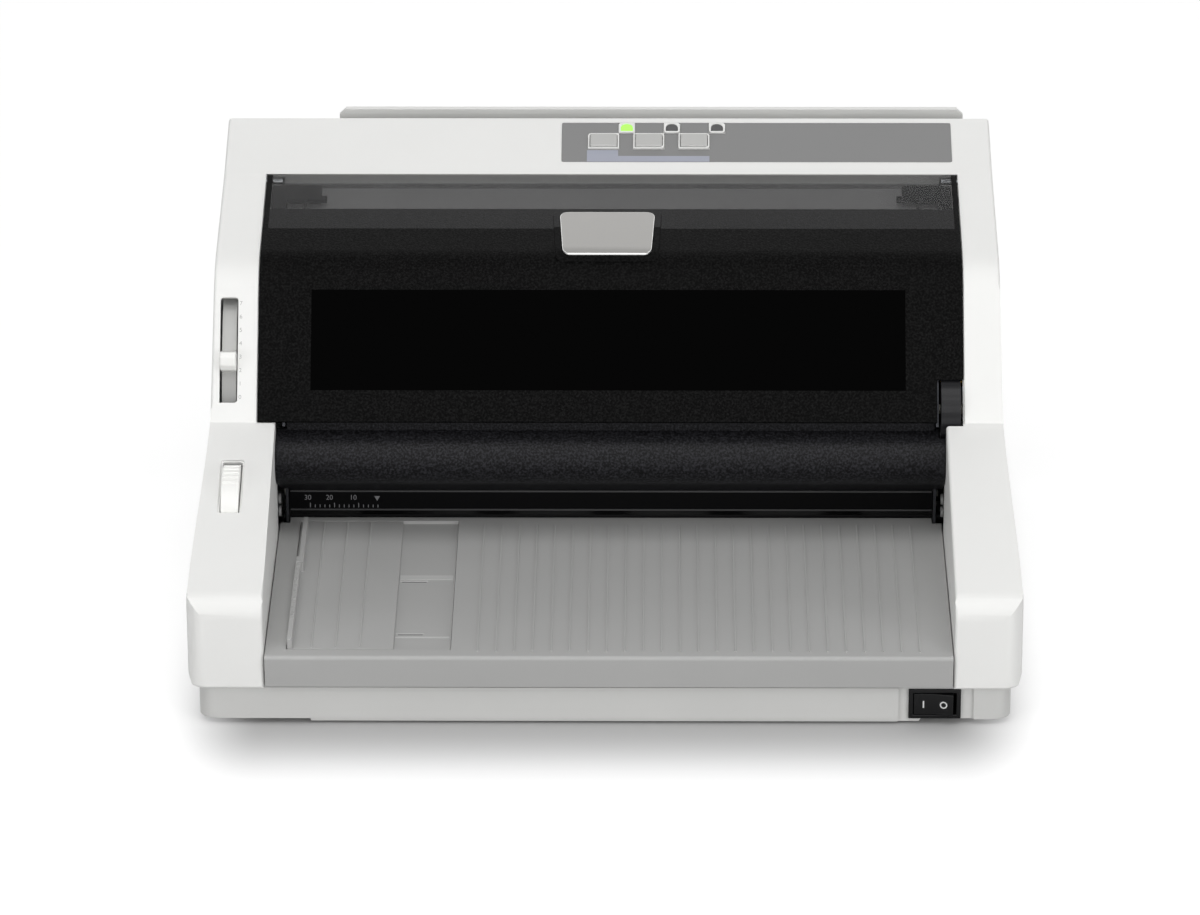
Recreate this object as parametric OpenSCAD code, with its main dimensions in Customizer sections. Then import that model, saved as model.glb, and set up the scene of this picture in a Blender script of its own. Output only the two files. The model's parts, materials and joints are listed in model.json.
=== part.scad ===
// Flatbed dot matrix printer, an assembly of separate pieces, in millimetres.
// X runs to the right, Y to the back and Z up; the origin is under the middle of the printer.
// Inside every module Y starts at the front edge of the paper tray; from_front() moves it home.

/* [Overall] */
// Width over the two cheeks
body_w = 415; // [400:1:440]
// Depth from the tray's front edge to the back of the rear guide
body_d = 345; // [335:1:365]
// Wall of the upper case
case_wall = 3; // [2.5:0.1:3.6]
// Shift of the cover, tray and paper path to the right of the case's middle
bay_shift = 2; // [0:0.5:4]
// Gap between a piece and the opening that it sits in
seam = 0.5; // [0.3:0.05:0.8]

/* [Cheeks and hood] */
// Distance from the tray's front edge to the front of the cheeks
cheek_front = 2; // [1:0.5:5]
// Radius of the cheeks' nose
nose_r = 13; // [10:0.5:16]
// Slope of the arm rests
arm_angle = 19.7; // [18:0.1:21]
// Height of the arm rests 14 mm behind the tray's front edge
arm_z = 70.5; // [68:0.5:73]
// Width of each cheek
cheek_w = 36; // [34.5:0.5:38.5]
// Distance from the printer's back to the hood's lower edge
hood_in = 218; // [216:0.5:220]
// Height of the hood's lower edge
hood_z = 111.9; // [110:0.5:114]
// Slope of the hood's front
hood_angle = 57; // [55:0.5:59]
// Length of the hood's straight front
hood_len = 68.9; // [66:0.5:71]
// Radius of the hood's shoulder
hood_r = 35; // [30:1:40]
// Slope of the hood's crown
crown_angle = 15.6; // [14:0.1:17]
// Distance from the printer's back to the cover's back edge
crown_in = 95; // [91:1:99]
// Slope of the brow that holds the control panel
brow_angle = 21.4; // [20:0.1:23]
// Distance from the printer's back to the top edge of the case
top_in = 54; // [50:1:58]
// Slope of the case's back
back_angle = 71.2; // [69:0.2:74]
// Distance from the printer's back to the case's back wall
back_in = 17; // [15:0.5:21]

/* [Cover] */
// Thickness of the smoked cover
cover_t = 2.5; // [2:0.1:3]
// Width of the cover's lap over each cheek
cover_lap = 9; // [7:0.5:11]
// Height of the cover's surface above the cheeks beside it
cover_proud = 1; // [0.5:0.1:1.5]
// Radius of the bead along the cover's back edge
bead_r = 3.6; // [3.2:0.1:4]
// Radius of the cover's hinge pins
hinge_pin_r = 1.6; // [1.3:0.1:1.9]
// Width of the silver plate on the cover
badge_w = 49; // [40:1:60]
// Depth of the silver plate, seen from above
badge_d = 34; // [28:1:36]

/* [Base and tray] */
// Height of the base pan's rim
base_top = 20; // [19.5:0.1:20.5]
// Underside of the base pan
base_bottom = 3; // [2.6:0.1:3.4]
// Wall of the base pan
base_wall = 2.5; // [2.2:0.1:3]
// Radius of a foot
foot_r = 9; // [7:0.5:11]
// Height of the tray's front edge
tray_z = 38.5; // [37:0.5:40]
// Slope of the tray
tray_angle = 4.2; // [3.5:0.1:4.8]
// Thickness of the tray
tray_t = 3; // [2.8:0.1:3.4]
// Pitch of the tray's ribs
rib_pitch = 9.17; // [8:0.01:11]
// Travel of the sheet guide
guide_travel = 28; // [20:1:28]

/* [Paper feed] */
// Height of the paper's straight path
paper_z = 51; // [50.5:0.1:51.5]
// Distance from the printer's back to the platen's axis
platen_in = 140; // [138:0.5:142]
// Radius of the platen
platen_r = 12; // [11:0.1:12.5]
// Radius of the platen's shaft
platen_shaft_r = 4; // [3.5:0.1:4.5]
// Radius of the feed rollers' shafts
feed_shaft_r = 3; // [2.6:0.1:3.4]
// Radius of a pinch roller
pinch_r = 5; // [4:0.1:5.2]
// Gap for the paper
paper_gap = 0.3; // [0.3:0.05:0.5]
// Module of the gears
gear_m = 1.5; // [1.48:0.01:1.52]
// Width of the gears
gear_w = 6; // [4:0.5:7]
// Slack in width between two meshing teeth
backlash = 0.3; // [0.25:0.05:0.4]
// Radius of the feed knob
knob_r = 18.3; // [17.8:0.1:18.6]
// Radial clearance of a shaft that turns in a hole
running = 0.05; // [0.03:0.01:0.08]

/* [Carriage] */
// Radius of the carriage shaft
rail_r = 5; // [4.5:0.1:5.5]
// Distance between the platen's ends and the carriage at its limits
carriage_rest = 15; // [15:0.5:20]
// Width of the carriage
carriage_w = 60; // [50:1:64]
// Radius of the belt's two pulleys
pulley_r = 8; // [7:0.1:8.5]

/* [Levers and buttons] */
// Distance from the thickness lever's slot to its pivot
lever_reach = 90; // [86:0.5:92]
// Length of the thickness lever's slot
lever_slot = 55; // [50:0.5:57]
// Radius of the paper select lever
select_r = 26; // [24.5:0.1:27]
// Width of a button's cap
button_w = 14.2; // [12:0.1:15]
// Depth of a button's cap
button_d = 9.7; // [8:0.1:10.5]
// Travel of a button
button_travel = 1; // [0.5:0.1:1.2]

/* [Hidden] */

// Middle of the bay, and the hood's corners and centres as [distance back, height]
mid = bay_shift;
bay_half = body_w / 2 - cheek_w;
cover_w = 2 * (bay_half + cover_lap);
hood_y = body_d - hood_in;
hood_back = body_d - crown_in;
top_y = body_d - top_in;
back_y = body_d - back_in;
platen_y = body_d - platen_in;
arm_p = [14, arm_z];
hood_low = [hood_y, hood_z];
hood_bend = hood_low + hood_len * [cos(hood_angle), sin(hood_angle)];
hood_c = shifted(hood_bend, hood_angle, hood_r);
crown_p = hood_c + hood_r * [-sin(crown_angle), cos(crown_angle)];
hood_end = [hood_back, crown_p[1] + (hood_back - crown_p[0]) * tan(crown_angle)];
bead_top = hood_end - bead_r * [cos(crown_angle), sin(crown_angle)];
hinge_c = shifted(bead_top, crown_angle, bead_r);
brow_end = hood_end + (top_y - hood_back) / cos(brow_angle) * [cos(brow_angle), sin(brow_angle)];
back_p = [back_y, 0];
nose_c = [cheek_front + nose_r,
    arm_z + (cheek_front + nose_r - arm_p[0]) * tan(arm_angle) - nose_r / cos(arm_angle)];

// Case, base and floor levels
flare = 5;
flare_low = 62;
flare_high = 118;
top_narrow = 1.5;
corner_front = 10;
corner_back = 14;
sill = 2.5;
base_half = body_w / 2 - 5;
base_front = cheek_front + 2;
base_back = back_y - 1.5;
base_floor = base_bottom + base_wall;
lip_drop = 1.5;
tray_edge_r = 2;
rib_right = mid + bay_half - 16.8;
slide_x = mid - bay_half + 11;
slide_w = 81.9;
foot_x = base_half - 37.5;
foot_spots = [for (x = [-foot_x, foot_x], y = [25, back_y - 25]) [x, y]];
ledge_t = 2.4;
shelf_t = 2.4;
shelf_reach = 38;
rest_gap = 0.3;

// Chassis
plate_in = bay_half - 5;
plate_t = 1.5;
plate_out = plate_in + plate_t;
plate_front = hood_y + 16;
plate_back = back_y - 17;
floor_z = 9;
sheet_t = 1.5;
boss_x = plate_in - 16.5;
boss_spots = [for (x = [-boss_x, 0, boss_x], y = [plate_front + 17, plate_back - 11]) [x, y]];
tray_len = plate_front + 6;

// Gear train: teeth, pitch radii and axes as [distance back, height]
knob_teeth = 12;
upper_teeth = 24;
lower_teeth = 22;
platen_teeth = 22;
feed_teeth = 16;
idler_teeth = 12;
motor_teeth = 12;
feed_r = platen_r * feed_teeth / platen_teeth;
feed_z = paper_z - feed_r;
platen_c = [platen_y, paper_z - platen_r];
train_angle = 50.6;
train_dir = [-cos(train_angle), sin(train_angle)];
lower_c = platen_c + mesh_distance(platen_teeth, lower_teeth) * train_dir;
upper_c = lower_c + mesh_distance(lower_teeth, upper_teeth) * train_dir;
knob_c = upper_c + mesh_distance(upper_teeth, knob_teeth) * train_dir;
motor_c = upper_c + mesh_distance(upper_teeth, motor_teeth) * [cos(75), sin(75)];
front_c = [lower_c[0] - reach(mesh_distance(lower_teeth, feed_teeth), lower_c[1] - feed_z), feed_z];
idle_gap = mesh_distance(platen_teeth, idler_teeth) + mesh_distance(idler_teeth, feed_teeth);
rear_c = [platen_c[0] + reach(idle_gap, platen_c[1] - feed_z), feed_z];
rear_idler_c = along(platen_c, rear_c, mesh_distance(platen_teeth, idler_teeth));
tractor_z = paper_z - 11;
tractor_gap = 2 * mesh_distance(feed_teeth, idler_teeth);
tractor_c = [rear_c[0] + reach(tractor_gap, rear_c[1] - tractor_z), tractor_z];
tractor_idler_c = along(rear_c, tractor_c, mesh_distance(feed_teeth, idler_teeth));
gear_x = mid + bay_half + 12.5;
gear_end = gear_x + gear_w;
stud_r = 2.5;

// Angle of each gear's first tooth, so that the train is in mesh
platen_turn = 0;
lower_turn = mesh_turn(platen_c, lower_c, platen_turn, platen_teeth, lower_teeth);
upper_turn = mesh_turn(lower_c, upper_c, lower_turn, lower_teeth, upper_teeth);
knob_turn = mesh_turn(upper_c, knob_c, upper_turn, upper_teeth, knob_teeth);
motor_turn = mesh_turn(upper_c, motor_c, upper_turn, upper_teeth, motor_teeth);
front_turn = mesh_turn(lower_c, front_c, lower_turn, lower_teeth, feed_teeth);
rear_idler_turn = mesh_turn(platen_c, rear_idler_c, platen_turn, platen_teeth, idler_teeth);
rear_turn = mesh_turn(rear_idler_c, rear_c, rear_idler_turn, idler_teeth, feed_teeth);
tractor_idler_turn = mesh_turn(rear_c, tractor_idler_c, rear_turn, feed_teeth, idler_teeth);
tractor_turn = mesh_turn(tractor_idler_c, tractor_c, tractor_idler_turn, idler_teeth, feed_teeth);

// Paper rollers
platen_half = plate_in - 16.5;
ring_pitch = (platen_half - 30) / 2;
ring_spots = [for (i = [-2:2]) i * ring_pitch];
ring_w = 20;
pinch_z = paper_z + paper_gap + pinch_r;
pinch_shaft_r = 2;
paper_plate_z = paper_z - 1;
paper_plate_t = 1.2;

// Tractors
tractor_w = 18;
tractor_x = platen_half - 31;
tractor_front = tractor_c[0] - 17.5;
tractor_back = tractor_c[0] + 17.5;
guide_rod_c = [tractor_c[0] - 12, tractor_z - 3];
guide_rod_r = 2.5;
pin_pitch = 12.7;
flap_z = paper_z + 3.4;
flap_t = 2;
flap_hinge_r = 1;

// Carriage: shaft, rail and belt
slot_mid = 37.6;
slot_p = hood_low + slot_mid * [cos(hood_angle), sin(hood_angle)];
rail_c = shifted(slot_p, hood_angle, lever_reach);
carriage_travel = 2 * (platen_half - carriage_rest) - carriage_w;
carriage_home = mid - carriage_travel / 2;
flange_y = rail_c[0] + 21.5;
rail_z = rail_c[1] + 2.6;
flange_h = 13;
belt_y = flange_y + 16.5;
belt_z = rail_z - 12;
belt_w = 6;
belt_t = 1.2;
pulley_x = plate_in - 14.5;
slide_gap = 0.4;
head_face = rail_c[0] - 9.3;

// Ribbon
ribbon_half = platen_half - 34;
ribbon_z = paper_z + 1.2;
ribbon_w = 13;
ribbon_t = 0.3;

// Sockets at the back and the board's height
inlet_x = 61.5 - body_w / 2;
parallel_x = body_w / 2 - 123.5;
usb_x = parallel_x - 54;
board_z = 12;
board_back = plate_front - 5;
board_left = 52.5 - base_half;
board_right = base_half - 62.5;

// Bullnose of the lower front cover
nose_low = [hood_y + 4, hood_z - 21.9];
nose_low_r = 13;

// Levers
lever_x = 13.9 - body_w / 2;
lever_w = 8.2;
lever_tilt = 4.1;
select_y = hood_y - 44.3;
select_p = [select_y, arm_z + (select_y - arm_p[0]) * tan(arm_angle)];
select_sink = 20.5;
select_c = shifted(select_p, arm_angle, select_sink);
select_x = 18.1 - body_w / 2;
select_w = 9;
select_pin_r = 3;
knob_x = mid + plate_out + 1;
knob_w = 10;
knob_open = 9;
knob_p = [knob_c[0] - 14.8 * sin(hood_angle), knob_c[1] + 14.8 * cos(hood_angle)];

// Power switch in the front of the base
switch_x = base_half - 38.2;
switch_z = (base_top + base_bottom) / 2 - 0.15;
switch_w = 26.1;
switch_h = 15.9;
rocker_w = 19.6;
rocker_h = 11.2;
rocker_tilt = -6;
rocker_back = 4;

// Control panel, in the brow's own frame: X and distance up the brow
panel_left = -24.7;
panel_right = body_w / 2 - 26.7;
panel_low = 9.1;
panel_high = 40.6;
panel_t = 0.6;
button_spots = [-2.5, 21.3, 45.1];
button_v = 25.4;
lamp_spots = [9.7, 33.5, 57.3];
lamp_v = 36;
lamp_w = 6.4;
lamp_d = 5.6;
bezel = 1;
surface = -cover_proud;
button_gap = 0.3;
flange_top = surface - case_wall - rest_gap;

// Rear sheet guide
guide_left = 64.5 - body_w / 2;
guide_right = body_w / 2 - 19.5;
guide_t = 2.4;
guide_top = [top_y + 12, brow_end[1] + 0.7];
guide_len = 107;
guide_hinge = guide_top + guide_len * [cos(back_angle), -sin(back_angle)];
guide_barrel_r = 3.4;
guide_pin_r = 2;
ear_r = body_d - guide_hinge[0];
ear_w = 4.5;

// Move a line's point to the line's right-hand side
function shifted(p, a, s) = [p[0] + s * sin(a), p[1] - s * cos(a)];

// Where the line through p at angle a meets the line through q at angle b
function cross_point(p, a, q, b) =
    let (t = ((q[0] - p[0]) * sin(b) - (q[1] - p[1]) * cos(b)) / sin(b - a))
    [p[0] + t * cos(a), p[1] + t * sin(a)];

// Points of an arc in n steps
function arc(c, r, from, to, n = 8) =
    [for (i = [0:n]) c + r * [cos(from + (to - from) * i / n), sin(from + (to - from) * i / n)]];

function reversed(list) = [for (i = [len(list) - 1:-1:0]) list[i]];

// Point on the way from p to q, at a distance from p
function along(p, q, d) = p + d * (q - p) / norm(q - p);

// Side of a right triangle
function reach(long, short) = sqrt(long * long - short * short);

function pitch_radius(teeth) = gear_m * teeth / 2;
function mesh_distance(a, b) = pitch_radius(a) + pitch_radius(b);

// Turn of gear b that puts one of its gaps on a tooth of gear a
function mesh_turn(a, b, turn_a, teeth_a, teeth_b) =
    let (dir = atan2(b[1] - a[1], b[0] - a[0]))
    dir + 180 + ((dir - turn_a) * teeth_a / 360 + 0.5) * 360 / teeth_b;

// Gear tooth: half angle of an involute tooth at radius r
function involute(base, r) = let (c = min(1, base / r)) tan(acos(c)) * 180 / PI - acos(c);
function tooth_half(teeth, r) =
    let (pitch = pitch_radius(teeth), base = pitch * cos(20), half = 90 / teeth)
    half - backlash / 2 / pitch * 90 / PI + involute(base, pitch) - involute(base, max(r, base));
function gear_outline(teeth, turn) =
    let (pitch = pitch_radius(teeth), base = pitch * cos(20))
    let (root = pitch - 1.1 * gear_m, tip = pitch + 0.72 * gear_m)
    let (radii = [root, max(root + 0.1, base), pitch, tip])
    [for (i = [0:teeth - 1], k = [0:7])
        let (r = radii[k < 4 ? k : 7 - k], side = k < 4 ? -1 : 1)
        let (a = turn + i * 360 / teeth + side * tooth_half(teeth, r))
        [r * cos(a), r * sin(a)]];

// Hood's surface, s below the cover's own, from its low edge to trim before its back edge
function hood_line(s, trim = 0) = concat(
    [shifted(hood_low, hood_angle, s)],
    arc(hood_c, hood_r - s, 90 + hood_angle, 90 + crown_angle, 12),
    [shifted(hood_end - trim * [cos(crown_angle), sin(crown_angle)], crown_angle, s)]);
function hood_band(top, bottom, trim = 0) =
    concat(hood_line(top, trim), reversed(hood_line(bottom, trim)));

// Side view of the case, s inside its outer surface
function case_profile(s, bottom) =
    let (deep = cover_proud + s)
    let (arm = shifted(arm_p, arm_angle, s), front = shifted(hood_low, hood_angle, deep))
    let (crown = shifted(hood_end, crown_angle, deep), brow = shifted(hood_end, brow_angle, deep))
    let (back = shifted(brow_end, -back_angle, s), wall = shifted(back_p, -90, s))
    concat([[cheek_front + s, bottom]],
        arc(nose_c, nose_r - s, 180, 90 + arm_angle, 8),
        [cross_point(arm, arm_angle, front, hood_angle)],
        arc(hood_c, hood_r - deep, 90 + hood_angle, 90 + crown_angle, 12),
        [cross_point(crown, crown_angle, brow, brow_angle)],
        [cross_point(brow, brow_angle, back, -back_angle)],
        [cross_point(back, -back_angle, wall, -90)],
        [[back_y - s, bottom]]);

// Front view of the case: half widths from the rim to the top
function case_sides(s, bottom) = concat(
    [[body_w / 2 - 2 - s, bottom], [body_w / 2 - s, bottom + 6]],
    [for (i = [0:8]) [body_w / 2 - s - flare * (1 - cos(i * 22.5)) / 2,
        flare_low + (flare_high - flare_low) * i / 8]],
    [[body_w / 2 - s - flare - top_narrow, brow_end[1] + 8]]);

// Rounded outline seen from above, with a radius at the front and one at the back
function plan(half, front, back, rf, rb) = concat(
    arc([half - rf, front + rf], rf, -90, 0, 6),
    arc([half - rb, back - rb], rb, 0, 90, 6),
    arc([rb - half, back - rb], rb, 90, 180, 6),
    arc([rf - half, front + rf], rf, 180, 270, 6));

// Home: the origin is under the middle of the printer
module from_front() { translate([0, -body_d / 2, 0]) children(); }

// A side view [distance back, height] made solid from x0 to x1
module slab(x0, x1) {
    translate([x0, 0, 0]) rotate([90, 0, 90]) linear_extrude(x1 - x0) children();
}

// A round bar along X
module rod(c, r, x0, x1) {
    translate([x0, c[0], c[1]]) rotate([0, 90, 0]) cylinder(h = x1 - x0, r = r, $fn = 64);
}

// A block between two corners
module block(x0, x1, y0, y1, z0, z1) {
    translate([x0, y0, z0]) cube([x1 - x0, y1 - y0, z1 - z0]);
}

// An upright round bar
module post(x, y, r, z0, z1) { translate([x, y, z0]) cylinder(h = z1 - z0, r = r, $fn = 48); }

// Frames of the tray's top, the arm rest, the hood's front and the brow
module on_tray() {
    translate([0, -tray_edge_r * (cos(tray_angle) + sin(tray_angle) - 1), tray_z])
        rotate([tray_angle, 0, 0]) children();
}
module on_arm() {
    translate([0, select_p[0], select_p[1]]) rotate([arm_angle, 0, 0]) children();
}
module on_hood() {
    translate([0, hood_low[0], hood_low[1]]) rotate([hood_angle, 0, 0]) children();
}
module on_brow() {
    translate([0, hood_end[0], hood_end[1]]) rotate([brow_angle, 0, 0]) children();
}

// A gear, or with a bore of 0 a solid one
module gear(c, teeth, turn, bore) {
    difference() {
        slab(gear_x, gear_end) translate(c) polygon(gear_outline(teeth, turn));
        if (bore > 0) rod(c, bore, gear_x - 1, gear_end + 1);
    }
}

// Outer or inner volume of the upper case
module case_volume(s, bottom) {
    intersection() {
        slab(-body_w, body_w) polygon(case_profile(s, bottom));
        translate([0, body_d, 0]) rotate([90, 0, 0]) linear_extrude(body_d + 50)
            polygon(concat(case_sides(s, bottom),
                reversed([for (p = case_sides(s, bottom)) [-p[0], p[1]]])));
        translate([0, 0, bottom]) linear_extrude(250)
            polygon(plan(body_w / 2 + 0.6 - s, cheek_front + s, back_y - s,
                corner_front - s, corner_back - s));
    }
}

// Walls and blocks that stay inside the hollow of the case
module case_insides() {
    cheek_back = hood_y + 6;
    for (side = [-1, 1]) {
        x = mid + side * (bay_half + case_wall / 2);
        block(x - case_wall / 2, x + case_wall / 2, 0, cheek_back, 0, 200);
        ledge_x = mid + side * (bay_half + 6);
        slab(ledge_x - 6, ledge_x + 6)
            polygon(hood_band(cover_proud + 1, cover_t + rest_gap + ledge_t));
        pin_x = mid + side * (cover_w / 2 + seam + 4);
        block(pin_x - 4, pin_x + 4, hinge_c[0] - 7, hinge_c[0] + 7, hinge_c[1] - 8, 250);
    }
    difference() {
        block(-body_w, body_w, 0, body_d, 0, base_top + sill);
        translate([0, 0, -1]) linear_extrude(100)
            polygon(plan(base_half - case_wall - 0.5, base_front + 3, base_back - 3, 6, 10));
    }
    rod(select_c, select_pin_r, -body_w, mid - bay_half);
}

// What is cut out of the case
module case_cuts() {
    block(mid - bay_half, mid + bay_half, -5, hinge_c[0], 0, 260);
    cover_half = cover_w / 2 + seam;
    edge = hood_low - seam * [cos(hood_angle), sin(hood_angle)];
    slab(mid - cover_half, mid + cover_half)
        polygon(concat([[hood_y - 27, 260], shifted(edge, hood_angle, -20)],
            [shifted(edge, hood_angle, cover_t + rest_gap)],
            arc(hood_c, hood_r - cover_t - rest_gap, 90 + hood_angle, 90 + crown_angle, 12),
            [shifted(bead_top, crown_angle, cover_t + rest_gap), [bead_top[0], 260]]));
    rod(hinge_c, bead_r + seam, mid - cover_half, mid + cover_half);
    for (side = [-1, 1])
        rod(hinge_c, hinge_pin_r + running, mid + side * (cover_half + 3) - 4,
            mid + side * (cover_half + 3) + 4);
    // opening round the feed knob
    block(mid + bay_half - 1, knob_x + knob_w + 1.2, knob_c[0] - knob_r - 1,
        knob_c[0] + knob_r + 1, knob_c[1] - knob_r - 1, 260);
    // slots of the two levers
    on_hood() block(lever_x - lever_w / 2 - seam, lever_x + lever_w / 2 + seam,
        slot_mid - lever_slot / 2, slot_mid + lever_slot / 2, -12, 10);
    on_arm() {
        block(select_x - select_w / 2 - 1.5, select_x + select_w / 2 + 1.5, -19.6, 19.6, -1.2, 10);
        block(select_x - select_w / 2 - seam, select_x + select_w / 2 + seam, -19.2, 19.2, -9, 10);
    }
    // seat of the panel, with the bezels left standing
    on_brow() difference() {
        block(panel_left, panel_right, panel_low, panel_high, surface - panel_t, surface + 20);
        for (x = button_spots)
            block(x - button_w / 2 - bezel, x + button_w / 2 + bezel,
                button_v - button_d / 2 - bezel, button_v + button_d / 2 + bezel, -9, surface + 0.8);
        for (x = lamp_spots)
            block(x - lamp_w / 2 - bezel, x + lamp_w / 2 + bezel,
                lamp_v - lamp_d / 2 - bezel, lamp_v + lamp_d / 2 + bezel, -9, surface + 0.6);
    }
    on_brow() {
        for (x = button_spots)
            block(x - button_w / 2 - button_gap, x + button_w / 2 + button_gap,
                button_v - button_d / 2 - button_gap, button_v + button_d / 2 + button_gap, -9, 9);
        for (x = lamp_spots) lamp_shape(x, 0, -9, 9);
    }
    // paper slot, inlet and sockets at the back
    block(mid - platen_half, mid + platen_half, back_y - 10, back_y + 5, paper_z - 5, 104);
    block(inlet_x - 13.6, inlet_x + 13.6, back_y - 10, back_y + 5, 21.9, 42.1);
    block(parallel_x - 33, parallel_x + 33, back_y - 10, back_y + 5, 25.4, 41.6);
    block(usb_x - 6.4, usb_x + 6.4, back_y - 10, back_y + 5, 25.4, 37.4);
}

// An indicator window: straight at the front, round at the back
module lamp_shape(x, grow, z0, z1) {
    r = lamp_w / 2 - 0.6 + grow;
    translate([x, lamp_v, z0]) linear_extrude(z1 - z0)
        polygon(concat([[-r - 0.6, -lamp_d / 2 - grow]], [[r + 0.6, -lamp_d / 2 - grow]],
            arc([0, 0], lamp_w / 2 + grow, 0, 180, 10)));
}

module upper_case() {
    color("#eeeeea") from_front() {
        difference() {
            union() {
                difference() {
                    case_volume(0, base_top);
                    difference() {
                        case_volume(case_wall, base_top - 5);
                        case_insides();
                    }
                }
                on_brow() for (x = button_spots)
                    block(x - button_w / 2 - bezel, x + button_w / 2 + bezel,
                        button_v - button_d / 2 - bezel, button_v + button_d / 2 + bezel,
                        surface - case_wall, surface + 0.8);
                on_brow() for (x = lamp_spots)
                    block(x - lamp_w / 2 - bezel, x + lamp_w / 2 + bezel,
                        lamp_v - lamp_d / 2 - bezel, lamp_v + lamp_d / 2 + bezel,
                        surface - case_wall, surface + 0.6);
                for (x = [guide_left - seam - ear_w, guide_right + seam]) guide_ear(x);
            }
            case_cuts();
        }
        hinge_shelf();
    }
}

// Shelf under the back of the cover, hung from the brow by a web behind the hinge
module hinge_shelf() {
    top = 2 * bead_r + seam + rest_gap;
    web = bead_r + seam + 0.6;
    along_crown = [cos(crown_angle), sin(crown_angle)];
    front = hood_end - shelf_reach * along_crown;
    back = hood_end + (web + 1) * along_crown;
    slab(mid - bay_half, mid + bay_half) {
        polygon([shifted(front, crown_angle, top), shifted(back, crown_angle, top),
            shifted(back, crown_angle, top + shelf_t), shifted(front, crown_angle, top + shelf_t)]);
        polygon([[hinge_c[0] + web, hinge_c[1] - bead_r], [hinge_c[0] + web, hood_end[1] - case_wall],
            [hinge_c[0] + web + shelf_t, hood_end[1] - case_wall + 1],
            [hinge_c[0] + web + shelf_t, hinge_c[1] - bead_r]]);
    }
}

// One ear that holds the rear guide
module guide_ear(x) {
    difference() {
        union() {
            rod(guide_hinge, ear_r, x, x + ear_w);
            block(x, x + ear_w, back_y - 5, guide_hinge[0],
                guide_hinge[1] - ear_r, guide_hinge[1] + ear_r);
        }
        rod(guide_hinge, guide_pin_r + running, x - 1, x + ear_w + 1);
    }
}

module base_pan() {
    color("#cfcfcc") from_front() difference() {
        union() {
            translate([0, 0, base_bottom]) linear_extrude(base_top - base_bottom)
                polygon(plan(base_half, base_front, base_back, 8, 12));
            block(55.5 - base_half, base_half - 45.5, base_front + 0.5, base_front + 10,
                lip_drop, base_bottom + 1);
        }
        difference() {
            translate([0, 0, base_floor]) linear_extrude(50)
                polygon(plan(base_half - base_wall, base_front + base_wall,
                    base_back - base_wall, 5.5, 9.5));
            for (p = boss_spots) post(p[0], p[1], 4, 0, floor_z);
            for (x = [board_left + 10, (board_left + board_right) / 2, board_right - 10],
                y = [28, board_back - 8]) post(x, y, 3, 0, board_z);
        }
        for (p = foot_spots) post(p[0], p[1], foot_r + 0.2, 0, base_bottom + 1);
        block(switch_x - 18, switch_x + 19.4, 0, base_front + 1.2, 0, 30);
        block(switch_x - 12.2, switch_x + 12.2, 0, base_front + 23,
            switch_z - 7, switch_z + 7);
    }
}

module rubber_feet() {
    color("#2b2b2b") from_front()
        for (p = foot_spots) post(p[0], p[1], foot_r, 0, base_bottom + 1);
}

module control_panel() {
    color("#808080") from_front() on_brow() difference() {
        block(panel_left + 0.2, panel_right - 0.2, panel_low + 0.2, panel_high - 0.2,
            surface - panel_t, surface);
        for (x = button_spots)
            block(x - button_w / 2 - bezel - 0.2, x + button_w / 2 + bezel + 0.2,
                button_v - button_d / 2 - bezel - 0.2, button_v + button_d / 2 + bezel + 0.2, -9, 9);
        for (x = lamp_spots)
            block(x - lamp_w / 2 - bezel - 0.2, x + lamp_w / 2 + bezel + 0.2,
                lamp_v - lamp_d / 2 - bezel - 0.2, lamp_v + lamp_d / 2 + bezel + 0.2, -9, 9);
    }
}

// A button: its cap stands in the well and its flange stops it under the wall
module button(x) {
    color("#d9d9d6") from_front() on_brow() {
        block(x - button_w / 2, x + button_w / 2, button_v - button_d / 2, button_v + button_d / 2,
            flange_top - 2.5, surface + 1.6);
        block(x - button_w / 2 - 1.2, x + button_w / 2 + 1.2, button_v - button_d / 2 - 1.2,
            button_v + button_d / 2 + 1.2, flange_top - 1.5, flange_top);
    }
}
module left_button() { button(button_spots[0]); }
module middle_button() { button(button_spots[1]); }
module right_button() { button(button_spots[2]); }

module indicator_lenses() {
    color("#8fd14f") from_front() on_brow()
        for (x = lamp_spots) lamp_shape(x, -0.1, surface - case_wall - 1, surface + 0.3);
}

// Small board with three push switches and three lamps, on posts under the brow
module panel_board() {
    switch_top = flange_top - 2.5 - button_travel - 0.3;
    low = switch_top - 5.6;
    color("#2f6b3a") from_front() on_brow() {
        block(-18, 70, panel_low + 1, panel_high - 2.6, low, low + 1.6);
        for (x = button_spots) {
            block(x - 3, x + 3, button_v - 3, button_v + 3, low + 1.6, switch_top - 1.4);
            translate([x, button_v, switch_top - 1.4]) cylinder(h = 1.4, r = 1.7, $fn = 32);
        }
        for (x = lamp_spots) translate([x, lamp_v, low + 1.6]) {
            cylinder(h = surface - case_wall - 1.3 - low - 1.6, r = 1.5, $fn = 32);
        }
        for (x = [-14, 66], y = [panel_low + 5, panel_high - 6.6])
            translate([x, y, low + 1.6]) cylinder(h = surface - case_wall - low - 1.6, r = 2.5, $fn = 32);
    }
}

// Outline of the silver plate or the pad under it
function badge_plan(grow) =
    let (w = badge_w / 2 + grow, y = hood_back - 54)
    let (y0 = y - badge_d / 2 - grow, y1 = y + badge_d / 2 + grow)
    concat(arc([w - 4, y1 - 4], 4, 0, 90, 6), arc([4 - w, y1 - 4], 4, 90, 180, 6),
        arc([5.5 - w, y0 + 4], 4, 180, 270, 6), arc([w - 5.5, y0 + 4], 4, 270, 360, 6));

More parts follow.
